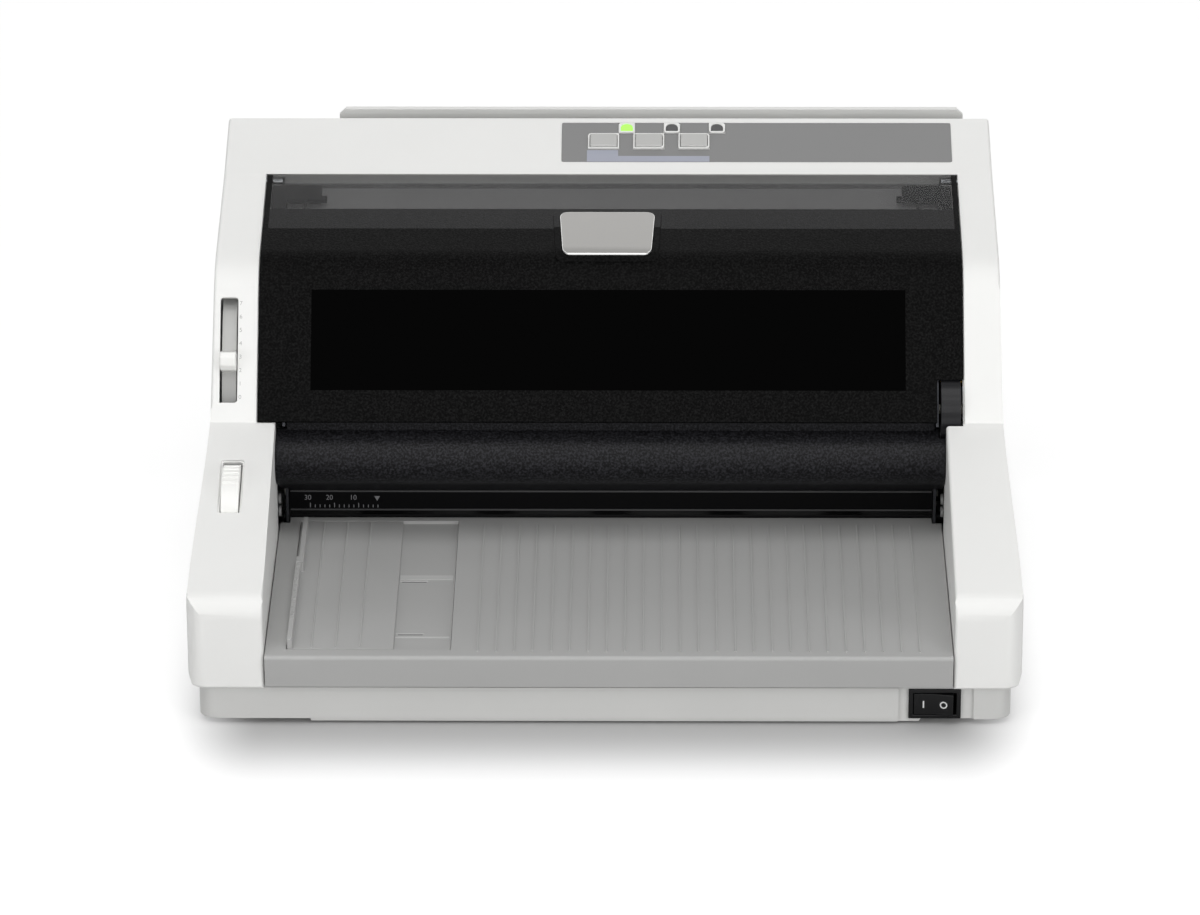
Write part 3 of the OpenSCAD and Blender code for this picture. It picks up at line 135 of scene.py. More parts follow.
class PrinterSizes(bpy.types.PropertyGroup):
    """Sizes of the dressing, in millimetres."""

    case_edge: length("Case edge", "Radius of the case's outer edges, mm", 1.6, 0.1, 2)
    base_edge: length("Base edge", "Radius of the base pan's edges, mm", 0.6, 0.1, 1)
    case_grain: length("Case grain", "Grain of the white mouldings, mm", 0.7, 0.1, 3)
    black_grain: length("Black grain", "Grain of the black mouldings, mm", 1.1, 0.1, 3)
    print_height: length("Scale digits", "Height of the digits on the scales, mm", 2.7, 1, 6)


class PrinterColours(bpy.types.PropertyGroup):
    """Colours of the mouldings."""

    case: colour("Case", "White of the case", "#F0F0EE")
    base: colour("Base", "Grey of the base pan", "#CDCDCB")
    tray: colour("Tray", "Grey of the paper tray", "#ADADAC")
    panel: colour("Panel", "Grey of the control panel's film", "#808080")
    key: colour("Buttons", "Grey of the button caps", "#BCBCBA")
    black: colour("Black", "Black of the front cover", "#141416")
    guide: colour("Guide", "Grey of the rear sheet guide", "#E4E4E2")
    zone: colour("Zone", "Tint under the buttons", "#A3A6B3")


def sizes():
    return bpy.context.scene.printer_sizes


def colours():
    return bpy.context.scene.printer_colours


# ---------------------------------------------------------------- nodes of a material


def add(tree, kind, links=(), **settings):
    """Adds a node. A setting is a property, or else a socket's value; links feed sockets."""
    node = tree.nodes.new(kind)
    for key, value in settings.items():
        if hasattr(node, key):
            setattr(node, key, value)
        else:
            node.inputs[key.replace("_", " ")].default_value = value
    for socket, source in dict(links).items():
        tree.links.new(source, node.inputs[socket])
    return node


def sums(tree, operation, first, second=None):
    """The outcome of a Math node with one or two inputs, each an output or a number."""
    node = add(tree, "ShaderNodeMath", operation=operation)
    for socket, value in zip(node.inputs, (first, second)):
        if isinstance(value, bpy.types.NodeSocket):
            tree.links.new(value, socket)
        elif value is not None:
            socket.default_value = value
    return node.outputs[0]


def drift(tree, noise, low, high, positions):
    """A colour that runs from one to another as the noise does, as an output."""
    ramp = add(tree, "ShaderNodeValToRGB", {"Fac": noise.outputs["Fac"]})
    for element, position, tint in zip(ramp.color_ramp.elements, positions, (low, high)):
        element.position = position
        element.color = (*tint, 1)
    return ramp.outputs["Color"]


def finish(name, tint, metallic=0.0, **settings):
    """A material with its Principled shader, and the tree, shader and object coordinates."""
    made = bpy.data.materials.new(name)
    made.use_nodes = True
    tree = made.node_tree
    tree.nodes.clear()
    shader = add(tree, "ShaderNodeBsdfPrincipled", Metallic=metallic, **settings)
    shader.inputs["Base Color"].default_value = made.diffuse_color = (*tint[:3], 1)
    output = add(tree, "ShaderNodeOutputMaterial", {"Surface": shader.outputs[0]})
    output.is_active_output = True
    place = add(tree, "ShaderNodeTexCoord").outputs["Object"]
    return made, tree, shader, place


def grain(tree, shader, place, size, depth, strength, detail=2.0):
    """A moulded grain: bumps of that size and depth, both in millimetres."""
    noise = add(
        tree,
        "ShaderNodeTexNoise",
        {"Vector": place},
        Scale=1000 / size,
        Detail=detail,
        Roughness=0.55,
    )
    bump = add(
        tree,
        "ShaderNodeBump",
        {"Height": noise.outputs["Fac"]},
        Distance=depth / 1000,
        Strength=strength,
    )
    tree.links.new(bump.outputs["Normal"], shader.inputs["Normal"])
    return noise


def vary(tree, place, tint, spread, patch):
    """A colour that drifts a little over patches of that many millimetres, as an output."""
    noise = add(tree, "ShaderNodeTexNoise", {"Vector": place}, Scale=1000 / patch, Detail=3.0)
    darker = [c * (1 - spread) for c in tint[:3]]
    paler = [min(1, c * (1 + spread)) for c in tint[:3]]
    return drift(tree, noise, darker, paler, (0.3, 0.7))


def moulded(name, tint, rough, size, depth, strength=0.5, spread=0.015, **settings):
    """Injection moulded plastic with a spark-eroded grain and a slight drift of colour."""
    made, tree, shader, place = finish(name, tint, Roughness=rough, IOR=1.53, **settings)
    grain(tree, shader, place, size, depth, strength)
    tree.links.new(vary(tree, place, tint, spread, PATCH), shader.inputs["Base Color"])
    return made


def metal(name, tint, rough, along, pitch, depth):
    """Metal with fine marks that run along one axis, 0 for X, 1 for Y and 2 for Z."""
    made, tree, shader, place = finish(name, tint, 1.0, Roughness=rough)
    stretch = [1000 / pitch] * 3
    stretch[along] = 1000 / (pitch * STREAK)
    mapping = add(tree, "ShaderNodeMapping", {"Vector": place}, Scale=stretch)
    noise = add(tree, "ShaderNodeTexNoise", {"Vector": mapping.outputs[0]}, Scale=1.0, Detail=3.0)
    bump = add(
        tree,
        "ShaderNodeBump",
        {"Height": noise.outputs["Fac"]},
        Distance=depth / 1000,
        Strength=0.5,
    )
    tree.links.new(bump.outputs["Normal"], shader.inputs["Normal"])
    gloss = add(
        tree,
        "ShaderNodeMapRange",
        {"Value": noise.outputs["Fac"]},
        To_Min=rough * 0.75,
        To_Max=min(1, rough * 1.3),
    )
    tree.links.new(gloss.outputs["Result"], shader.inputs["Roughness"])
    return made


# ---------------------------------------------------------------- shapes


def across(e, run):
    """The narrowest width of an edge's two faces, measured square to the edge."""
    least = 1.0
    start, end = (v.co for v in e.verts)
    for share in (0.15, 0.5, 0.85):
        here = start.lerp(end, share)
        for face in e.link_faces:
            for n in face.edges:
                if n is e or n.verts[0] in e.verts or n.verts[1] in e.verts:
                    continue
                a, b = n.verts[0].co, n.verts[1].co
                part = min(1, max(0, intersect_point_line(here, a, b)[1]))
                gap = a.lerp(b, part) - here
                if gap.length < least and abs(gap.dot(run)) < LEAN * gap.length:
                    least = gap.length
    return least


def roomy(mesh, size, sharp):
    """Indices of the sharp edges that have room to be rounded."""
    steep = math.radians(sharp)
    found = []
    for e in mesh.edges:
        if len(e.link_faces) != 2 or e.calc_face_angle(0) <= steep:
            continue
        run = (e.verts[1].co - e.verts[0].co).normalized()
        room = min(
            (
                n.calc_length()
                for v in e.verts
                for n in v.link_edges
                if n is not e
                and abs(run.dot((n.other_vert(v).co - v.co).normalized())) < ALONG
            ),
            default=1,
        )
        if room > ROOM_ALONG * size and across(e, run) > ROOM_ACROSS * size:
            found.append(e.index)
    return found


def warped(mesh, fresh, home, planes):
    """Places of corners that left their old face's plane or turned a part of it over."""
    found = []
    for face in mesh.faces:
        if face in fresh:
            continue
        middle, normal = planes[face[home]]
        for v in face.verts:
            if abs((v.co - middle).dot(normal)) > OFF_PLANE:
                found.append((face[home], v.co.copy()))
    for loops in mesh.calc_loop_triangles():
        face = loops[0].face
        if face in fresh:
            continue
        a, b, c = (loop.vert.co for loop in loops)
        turned = (b - a).cross(c - a)
        if turned.dot(planes[face[home]][1]) < TURNED:
            found += [(face[home], p.copy()) for p in (a, b, c)]
    return found


def nearest(corners, place):
    """The index of the corner that lies closest to a place."""
    return min(corners, key=lambda corner: (corner[1] - place).length_squared)[0]


def rounded(mesh, size, segments, sharp, tries):
    """The same solid with sharp edges rounded, but none whose rounding would warp a face.

    A corner where a trial bevel warps a face is barred, and the next trial goes round it.
    """
    mesh.verts.index_update()
    mesh.edges.index_update()
    mesh.faces.index_update()
    home = mesh.faces.layers.int.get("home") or mesh.faces.layers.int.new("home")
    planes, corners = {}, {}
    for face in mesh.faces:
        face[home] = face.index
        planes[face.index] = (face.calc_center_median(), face.normal.copy())
        corners[face.index] = [(v.index, v.co.copy()) for v in face.verts]
    found = roomy(mesh, size, sharp)
    barred = set()
    for _ in range(tries):
        trial = mesh.copy()
        trial.edges.ensure_lookup_table()
        layer = trial.faces.layers.int.get("home")
        chosen = [trial.edges[i] for i in found]
        chosen = [e for e in chosen if barred.isdisjoint(v.index for v in e.verts)]
        if not chosen:
            trial.free()
            return mesh
        made = bmesh.ops.bevel(
            trial,
            geom=chosen,
            offset=size,
            offset_type="OFFSET",
            segments=segments,
            profile=0.5,
            affect="EDGES",
            clamp_overlap=False,
            material=-1,
        )
        faults = warped(trial, set(made["faces"]), layer, planes)
        if not faults:
            mesh.free()
            return trial
        guilty = {nearest(corners[old], place) for old, place in faults} - barred
        if not guilty:
            for old, place in faults:
                left = [corner for corner in corners[old] if corner[0] not in barred]
                if left:
                    guilty.add(nearest(left, place))
        barred |= guilty
        trial.free()
    return mesh


def softened(node, edge, segments=3, sharp=33, shares=(1.0, 0.4, 0.16), tries=12):
    """A copy of a CAD node's solid with its sharp edges rounded, less where there is less room."""
    mesh = bmesh.new()
    mesh.from_mesh(frame["nodes"][node].data)
    bmesh.ops.remove_doubles(mesh, verts=mesh.verts, dist=MERGE)
    bmesh.ops.dissolve_limit(
        mesh, angle_limit=math.radians(FLATNESS), verts=mesh.verts, edges=mesh.edges
    )
    mesh.normal_update()
    for share in shares:
        mesh = rounded(mesh, edge * share / 1000, segments, sharp, tries)
    return mesh


def shade(mesh, angle):
    """Smooth shading up to an angle, parted where broad faces meet in a rounding's last corner."""
    for face in mesh.faces:
        face.smooth = True
    for e in mesh.edges:
        e.smooth = len(e.link_faces) == 2 and e.calc_face_angle(0) < math.radians(angle)
    for v in mesh.verts:
        broad = [face for face in v.link_faces if face.calc_area() > BROAD]
        if any(a.normal.dot(b.normal) < APART for a in broad for b in broad):
            for face in broad:
                for e in face.edges:
                    if v in e.verts:
                        e.smooth = False


def piece(name, mesh, body, slot, *finishes, replaces=(), smooth=35):
    """A finished piece from a bmesh: it rides on a body and may stand for CAD nodes.

    Its big faces shade flat, so only the roundings between them catch the light.
    """
    data = bpy.data.meshes.new(name)
    shade(mesh, smooth)
    mesh.to_mesh(data)
    mesh.free()
    made = bpy.data.objects.new(name, data)
    bpy.context.scene.collection.objects.link(made)
    for f in finishes:
        data.materials.append(f)
    weights = made.modifiers.new("weights", "WEIGHTED_NORMAL")
    weights.keep_sharp = True
    weights.weight = 100
    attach(made, body)
    if replaces:
        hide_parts(*replaces)
    return made


def dressed(node, name, slot, edge, *finishes, **rounding):
    """A CAD node's solid with soft edges and its finish, in the node's place."""
    mesh = softened(node, edge, **rounding)
    return piece(name, mesh, frame["nodes"][node]["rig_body"], slot, *finishes, replaces=[node])


def paint(node, finish_made):
    """Gives a CAD node that is shown as it is a finish."""
    data = frame["nodes"][node].data
    data.materials.clear()
    data.materials.append(finish_made)


def bar(mesh, low, high, edge=0.0):
    """Adds a block between two corners, with its edges rounded by that many millimetres."""
    middle = (low + high) / 2
    size = high - low
    made = bmesh.ops.create_cube(
        mesh, size=1, matrix=Matrix.Translation(middle) @ Matrix.Diagonal((*size, 1))
    )
    if edge:
        bmesh.ops.bevel(
            mesh,
            geom=list({e for v in made["verts"] for e in v.link_edges}),
            offset=edge / 1000,
            offset_type="OFFSET",
            segments=2,
            profile=0.5,
            affect="EDGES",
            clamp_overlap=True,
            material=-1,
        )


def slope(back, up, angle):
    """A sloped surface: gives the place at X, a distance up the slope and a height off it."""
    c, s = math.cos(math.radians(angle)), math.sin(math.radians(angle))

    def at(x, v, w):
        return mm(x, back + v * c - w * s, up + v * s + w * c)

    at.turn = math.radians(angle)
    return at


CROWN = 250, 202.63, 15.6  # place and slope of the cover's upper edge
BROW = slope(250, 202.63, 21.4)  # the case lies 1 mm below this plane
HOOD = slope(127, 111.9, 57)  # the straight front of the cover
TRAY = slope(-0.14, 38.5, 4.2)  # the paper tray's top
STRIP = slope(147.5, 54.2, 81.1)  # the face of the paper scale


def block(mesh, x0, x1, v0, v1, w0, w1, edge=0.0):
    """Adds a block made flat, in millimetres: along X, up the slope and off it."""
    bar(mesh, Vector((x0, v0, w0)) / 1000, Vector((x1, v1, w1)) / 1000, edge)


def disc(mesh, radius, depth, place, segments=24):
    """Adds a thin disc, its sizes in millimetres; three segments make a triangle."""
    bmesh.ops.create_cone(
        mesh,
        cap_ends=True,
        segments=segments,
        radius1=radius / 1000,
        radius2=radius / 1000,
        depth=depth / 1000,
        matrix=place,
    )


def onto(mesh, surface):
    """Moves what was made flat from its own plane onto a sloped surface."""
    turn = Matrix.Rotation(surface.turn, 4, "X")
    place = Matrix.Translation(surface(0, 0, 0)) @ turn
    bmesh.ops.transform(mesh, matrix=place, verts=mesh.verts)


DIGIT_SIZE = 1.37  # a font's size for digits of height 1
INK = 0.03  # thickness of printed digits, mm


def digits(text, height, surface, x, v, w):
    """A bmesh with plain digits, centred at a place on a sloped surface."""
    curve = bpy.data.curves.new("digits", "FONT")
    curve.body = text
    curve.align_x = "CENTER"
    curve.align_y = "CENTER"
    curve.size = height / 1000 * DIGIT_SIZE
    curve.extrude = INK / 2000
    flat = bpy.data.objects.new("digits", curve)
    bpy.context.scene.collection.objects.link(flat)
    made = bmesh.new()
    made.from_mesh(flat.to_mesh())
    flat.to_mesh_clear()
    bpy.data.objects.remove(flat)
    bpy.data.curves.remove(curve)
    bmesh.ops.remove_doubles(made, verts=made.verts, dist=MERGE / 2)
    bmesh.ops.recalc_face_normals(made, faces=made.faces)
    bmesh.ops.translate(made, vec=Vector((x, v, w)) / 1000, verts=made.verts)
    onto(made, surface)
    return made


def merged(meshes):
    """One bmesh from several."""
    whole = bmesh.new()
    for part in meshes:
        held = bpy.data.meshes.new("held")
        part.to_mesh(held)
        part.free()
        whole.from_mesh(held)
        bpy.data.meshes.remove(held)
    return whole


def repaint(mesh, index, test):
    """Gives the faces whose middle passes a test another of the piece's finishes."""
    for face in mesh.faces:
        if test(face.calc_center_median()):
            face.material_index = index


# ---------------------------------------------------------------- finishes


def make_finishes():
    """Every finish of the printer, made once."""
    s, c = sizes(), colours()
    made = {}
    # ABS, spark-eroded mould: an even silky grain; drawn coarser than life so that it shows
    made["case"] = moulded("abs_white_moulded", c.case, 0.42, s.case_grain, 0.03, 0.35, 0.008)
    made["base"] = moulded("abs_grey_moulded", c.base, 0.45, s.case_grain, 0.03, 0.35)
    made["tray"] = moulded("abs_tray_moulded", c.tray, 0.5, s.case_grain, 0.04, 0.4)
    # Pale rails and dark slots in the slider's bay: painted highlight and painted shade along its
    # edges
    made["rail"] = moulded("abs_tray_edge_painted_highlight", linear("#BEBEBD"), 0.45, 0.6, 0.01, 0.2)
    made["slot"] = moulded("abs_tray_slot_shaded", linear("#6E6E6E"), 0.6, 0.6, 0.01, 0.2)
    made["guide"] = moulded("abs_guide_moulded", c.guide, 0.48, s.case_grain, 0.03, 0.35)
    made["key"] = moulded("abs_button_satin", c.key, 0.38, 0.5, 0.01, 0.2)
    made["lever"] = moulded("pom_lever_satin", linear("#F6F6F3"), 0.32, 0.5, 0.01, 0.2)
    # Black ABS with a coarse leather-like mould grain that breaks every highlight,
    # and finer black plastics with hardly any gloss
    made["black"] = grained("abs_black_grained", c.black, 0.42, 0.08, s.black_grain)
    made["strip"] = moulded(
        "abs_black_satin", linear("#09090A"), 0.35, 0.8, 0.02, 0.3, Specular_IOR_Level=0.03
    )
    made["switch"] = moulded(
        "pc_black_gloss", linear("#121213"), 0.22, 0.6, 0.01, 0.15, Specular_IOR_Level=0.2
    )
    made["knob"] = moulded(
        "abs_knob_black", linear("#1B1B1D"), 0.4, 0.8, 0.03, 0.4, Specular_IOR_Level=0.2
    )
    # Printed polyester film: flat, matt, hardly any grain
    made["film"] = moulded("polyester_film_matt", c.panel, 0.55, 0.3, 0.005, 0.2, 0.005)
    made["zone"] = moulded("ink_lavender_flat", c.zone, 0.55, 0.3, 0.004, 0.2, 0.005)
    made["mark"] = moulded("ink_grey_printed", linear("#B9B9B8"), 0.6, 0.3, 0.003, 0.2, 0.0)
    made["pale_mark"] = moulded(
        "ink_white_printed", linear("#D9D9D9"), 0.6, 0.3, 0.003, 0.2, 0.0
    )
    made["dim_mark"] = moulded("ink_grey_dim", linear("#77777A"), 0.6, 0.3, 0.003, 0.2, 0.0)
    # Rubber: dull, with a little bloom; the platen's is ground
    made["rubber"] = moulded("rubber_moulded", linear("#232324"), 0.8, 0.9, 0.04, 0.5, 0.06)
    made["platen"] = moulded("rubber_ground", linear("#1D1D1F"), 0.62, 0.5, 0.02, 0.5, 0.04)
    # Acetal, injection moulded: waxy and nearly smooth
    made["acetal"] = moulded("acetal_natural", linear("#E6E3D8"), 0.36, 0.8, 0.01, 0.2)
    made["pinch"] = moulded("acetal_white", linear("#E0E0DC"), 0.36, 0.8, 0.01, 0.2)
    # Dyed ABS of the works, moulded with a plain grain
    made["dark"] = moulded("abs_dark_moulded", linear("#26282C"), 0.45, 0.9, 0.04, 0.5, 0.05)
    made["flap"] = moulded("abs_blue_moulded", linear("#3F7394"), 0.42, 0.9, 0.03, 0.4)
    # Woven nylon soaked in ink, and a moulded rubber belt
    made["ribbon"] = moulded("nylon_ribbon_inked", linear("#0E0E11"), 0.75, 0.35, 0.05, 0.8, 0.1)
    made["belt"] = moulded("rubber_belt_moulded", linear("#1A1A1A"), 0.7, 1.0, 0.05, 0.6)
    # Ground steel bar: turned marks round the bar show as fine rings
    made["bar"] = metal("steel_ground", linear("#B9BCBF"), 0.22, 1, 0.4, 0.004)
    # Rolled, brushed, cut and cast metals, each with marks along its own direction
    made["sheet"] = metal("steel_zinc_plated", linear("#A9ADB0"), 0.38, 0, 0.6, 0.006)
    made["badge"] = metal("aluminium_brushed_anodised", linear("#8C8B89"), 0.34, 0, 0.25, 0.004)
    # The plate's rounded rim: paler metal as a painted highlight
    made["rim"] = metal("aluminium_rim_painted_highlight", linear("#EDEDEB"), 0.3, 0, 0.25, 0.003)
    made["motor"] = metal("steel_black_passivated", linear("#3B3C3F"), 0.42, 2, 0.7, 0.008)
    made["brass"] = metal("brass_cut", linear("#C8A45A"), 0.28, 0, 0.3, 0.004)
    made["head"] = metal("aluminium_cast", linear("#5A5D62"), 0.45, 2, 0.9, 0.02)
    made["shell"] = metal("steel_port_shell", linear("#9EA2A6"), 0.33, 0, 0.3, 0.003)
    # Circuit board: green solder mask below, dark moulded components above it
    for name, height in (("board", 13.7), ("supply", 15.7)):
        made[name] = board(name + "_solder_mask", height)
    made["panel_board"] = moulded(
        "solder_mask_green", linear("#2B6238"), 0.35, 1.6, 0.02, 0.3, 0.06
    )
    # Smoked polycarbonate cover: grained outside, polished in the window, thin at the band
    made["cover"] = grained("pc_smoked_grained", linear("#080808"), 0.4, 0.02, s.black_grain)
    made["fine"] = grained("pc_smoked_fine_grain", linear("#0D0D0E"), 0.34, 0.07, 0.6)
    made["window"] = grained("pc_smoked_polished", linear("#010101"), 0.06, 0.006, 0)
    made["band"] = grained("pc_smoked_clear", linear("#101011"), 0.12, 0.3, 0.6, clear=0.62)
    # Grey plastics behind the band, in the lever's slot and on the cheeks
    made["inside"] = moulded("abs_grey_shelf", linear("#C4C4C4"), 0.5, 0.8, 0.03, 0.3)
    made["shutter"] = moulded("pom_shutter_grey", linear("#B9B9B7"), 0.4, 0.6, 0.01, 0.2)
    made["lobe"] = moulded("abs_boss_grey", linear("#8C8C8C"), 0.45, 0.6, 0.01, 0.2)
    # Grey strips along the scale's edges: a painted highlight, paler than the black, where the
    # edges catch the light
    made["bead"] = moulded(
        "abs_grey_painted_highlight", linear("#454546"), 0.4, 0.6, 0.01, 0.1, Specular_IOR_Level=0.15
    )
    # Powder coated steel: dull black with a very fine texture
    made["coated"] = moulded(
        "steel_powder_coated", linear("#101011"), 0.6, 0.4, 0.01, 0.3, Specular_IOR_Level=0.12
    )
    # Lamps: light pipes of clear acrylic, one lit
    made["lamp_on"] = lamp("acrylic_green_lit", "#8FD64A", 0.9)
    made["lamp_off"] = lamp("acrylic_dark", "#3F3F40", 0.0)
    return made


def board(name, height):
    """A populated circuit board: green mask up to that height, dark parts above it."""
    made, tree, shader, place = finish(name, linear("#2B6238"), Roughness=0.35, IOR=1.5)
    up = add(tree, "ShaderNodeSeparateXYZ", {"Vector": place}).outputs["Z"]
    above = sums(tree, "GREATER_THAN", up, height / 1000)
    tracks = add(
        tree,
        "ShaderNodeTexBrick",
        {"Vector": place},
        Scale=260.0,
        Mortar_Size=0.06,
        Color1=linear("#2B6238"),
        Color2=linear("#2F6B3E"),
        Mortar=linear("#3C7F4B"),
    )
    # In colour mode the mix's factor, two colours and outcome are sockets 0, 6, 7 and 2
    mix = add(tree, "ShaderNodeMix", {0: above, 6: tracks.outputs["Color"]}, data_type="RGBA")
    mix.inputs[7].default_value = linear("#1D1D20")
    tree.links.new(mix.outputs[2], shader.inputs["Base Color"])
    return made


def grained(name, tint, rough, gloss, size, clear=0.0):
    """Black plastic with a coarse mould grain: peaks painted paler as painted highlight, hollows
    darker as painted shade.
    """
    made, tree, shader, place = finish(
        name, tint, Roughness=rough, IOR=1.58, Specular_IOR_Level=gloss, Alpha=1 - clear
    )
    if size:
        noise = grain(tree, shader, place, size, 0.14, 0.15 if clear else 0.8, 3.0)
        shaded_hollow = [c * 0.5 for c in tint[:3]]
        lit_peak = [c * 4 + 0.001 for c in tint[:3]]
        painted_glints = drift(tree, noise, shaded_hollow, lit_peak, (0.42, 0.72))
        tree.links.new(painted_glints, shader.inputs["Base Color"])
    return made


def lamp(name, code, strength):
    """A lamp's window; a strength above 0 lights it."""
    made, tree, shader, place = finish(
        name, linear(code), Roughness=0.2, IOR=1.49, Coat_Weight=0.5, Emission_Strength=strength
    )
    shader.inputs["Emission Color"].default_value = linear(code)
    grain(tree, shader, place, 0.8, 0.01, 0.2)
    return made


FINISHES = {}  # filled by main() before the operators run


# ---------------------------------------------------------------- operators


class PRINTER_OT_stage(bpy.types.Operator):
    """Builds the floor, the studio light and the camera."""

    bl_idname = "printer.stage"
    bl_label = "Stage"

    def execute(self, context):
        scene = context.scene
        scene.view_settings.view_transform = "Standard"
        self.floor(scene)
        self.light(scene)
        self.camera(scene)
        return {"FINISHED"}

    def floor(self, scene):
        """A floor, white further out and left grey round the printer as a painted shadow patch,
        that keeps the printer's shadow.
        """
        mesh = bmesh.new()
        bmesh.ops.create_grid(mesh, x_segments=1, y_segments=1, size=6)
        data = bpy.data.meshes.new("floor")
        mesh.to_mesh(data)
        mesh.free()
        floor = bpy.data.objects.new("floor", data)
        scene.collection.objects.link(floor)
        made, tree, shader, place = finish("paper_white_sweep", linear("#B4B4B4"), Roughness=0.9)
        # White all round from a glow that fades out under the base and just in front of it; the
        # grey floor left there is a painted shadow patch, and the real shadow falls on it too
        apart = add(tree, "ShaderNodeSeparateXYZ", {"Vector": place})
        reach = add(tree, "ShaderNodeCombineXYZ")
        for axis, start, end in (("X", 0.17, 0.225), ("Y", 0.165, 0.25)):
            far = sums(tree, "ABSOLUTE", apart.outputs[axis])
            part = add(
                tree, "ShaderNodeMapRange", {"Value": far}, From_Min=start, From_Max=end
            )
            tree.links.new(part.outputs["Result"], reach.inputs[axis])
        most = add(tree, "ShaderNodeVectorMath", {0: reach.outputs[0]}, operation="LENGTH")
        rise = add(
            tree,
            "ShaderNodeMapRange",
            {"Value": most.outputs["Value"]},
            interpolation_type="SMOOTHSTEP",
            To_Max=0.7,
        )
        seen = sums(tree, "MULTIPLY", self.open_rays(tree), rise.outputs["Result"])
        glow = add(tree, "ShaderNodeEmission", {"Strength": seen}, Color=WHITE)
        both = add(tree, "ShaderNodeAddShader", {0: shader.outputs[0], 1: glow.outputs[0]})
        output = next(n for n in tree.nodes if n.type == "OUTPUT_MATERIAL")
        tree.links.new(both.outputs[0], output.inputs["Surface"])
        data.materials.append(made)

    def open_rays(self, tree):
        """1 for the rays that see the background: straight, mirrored or through glass."""
        path = add(tree, "ShaderNodeLightPath").outputs
        two = sums(tree, "MAXIMUM", path["Is Camera Ray"], path["Is Glossy Ray"])
        return sums(tree, "MAXIMUM", two, path["Is Transmission Ray"])

    def light(self, scene):
        """A white background, a weak even light and five soft boxes: places in m, power in W."""
        world = bpy.data.worlds.new("studio")
        scene.world = world
        world.use_nodes = True
        tree = world.node_tree
        tree.nodes.clear()
        white = add(tree, "ShaderNodeBackground", Strength=1.0, Color=WHITE)
        soft = add(tree, "ShaderNodeBackground", Strength=0.13, Color=WHITE)
        mix = add(
            tree,
            "ShaderNodeMixShader",
            {0: self.open_rays(tree), 1: soft.outputs[0], 2: white.outputs[0]},
        )
        add(tree, "ShaderNodeOutputWorld", {"Surface": mix.outputs[0]})
        target = Vector((0, 0, 0.1))
        for name, place, size, power in (
            ("left_box", (-2.0, -2.0, 0.7), (1.3, 1.1), 17),
            ("right_box", (2.0, -2.0, 0.7), (1.3, 1.1), 22),
            ("top_box", (0.0, -0.95, 2.0), (2.4, 1.8), 26),
            ("front_box", (0.0, -2.6, 1.1), (1.6, 0.7), 8),
            ("back_box", (0.0, 1.9, 1.7), (2.4, 1.0), 11),
        ):
            lamp_data = bpy.data.lights.new(name, "AREA")
            lamp_data.shape = "RECTANGLE"
            lamp_data.size, lamp_data.size_y = size
            lamp_data.energy = power
            lamp_made = bpy.data.objects.new(name, lamp_data)
            lamp_made.location = place
            aim = target - Vector(place)
            lamp_made.rotation_euler = aim.to_track_quat("-Z", "Y").to_euler()
            scene.collection.objects.link(lamp_made)

    def camera(self, scene):
        """The photograph's view: about 23 degrees above the horizon, three metres away."""
        data = bpy.data.cameras.new("view")
        data.sensor_width = 36
        data.lens = 177.5
        data.clip_start, data.clip_end = 0.1, 50
        camera = bpy.data.objects.new("view", data)
        distance = 3.05496
        centre = mm(-3.57, 150, 82.62)  # the point in the middle of the picture
        el, az, roll = (math.radians(a) for a in (22.953, 0.587, -0.153))
        back = Vector((math.sin(az) * math.cos(el), -math.cos(az) * math.cos(el), math.sin(el)))
        right = (-back).cross(Vector((0, 0, 1))).normalized()
        up = right.cross(-back)
        right, up = (
            right * math.cos(roll) + up * math.sin(roll),
            up * math.cos(roll) - right * math.sin(roll),
        )
        turn = Matrix((right, up, back)).transposed().to_4x4()
        camera.matrix_world = Matrix.Translation(centre + back * distance) @ turn
        scene.collection.objects.link(camera)
        scene.camera = camera


class PRINTER_OT_case(bpy.types.Operator):
    """Dresses the white case, the base pan and its feet."""

    bl_idname = "printer.case"
    bl_label = "Case and base"

    def execute(self, context):
        s = sizes()
        smooth = 24  # a rounding of four steps turns 22.5 degrees in each
        case = softened("upper_case", s.case_edge, segments=4, tries=30)
        repaint(case, 1, self.is_shelf)
        piece(
            "case_shell",
            case,
            "printer_frame",
            "case_white",
            FINISHES["case"],
            FINISHES["inside"],
            replaces=["upper_case"],
            smooth=smooth,
        )
        base = softened("base_pan", s.base_edge, segments=4)
        piece(
            "base_shell",
            base,
            "printer_frame",
            "base_grey",
            FINISHES["base"],
            replaces=["base_pan"],
            smooth=smooth,
        )
        dressed("rubber_feet", "feet", "foot_rubber", 0.8, FINISHES["rubber"])
        return {"FINISHED"}

    def is_shelf(self, middle):
        """Faces of the grey shelf that lies under the cover's clear band."""
        back, up, angle = CROWN
        tilt = math.radians(angle)
        out = (middle - mm(0, back, up)) * 1000
        height = out.z * math.cos(tilt) - out.y * math.sin(tilt)
        return abs(middle.x) < 0.174 and -45 < out.y < 2 and -11 < height < -6


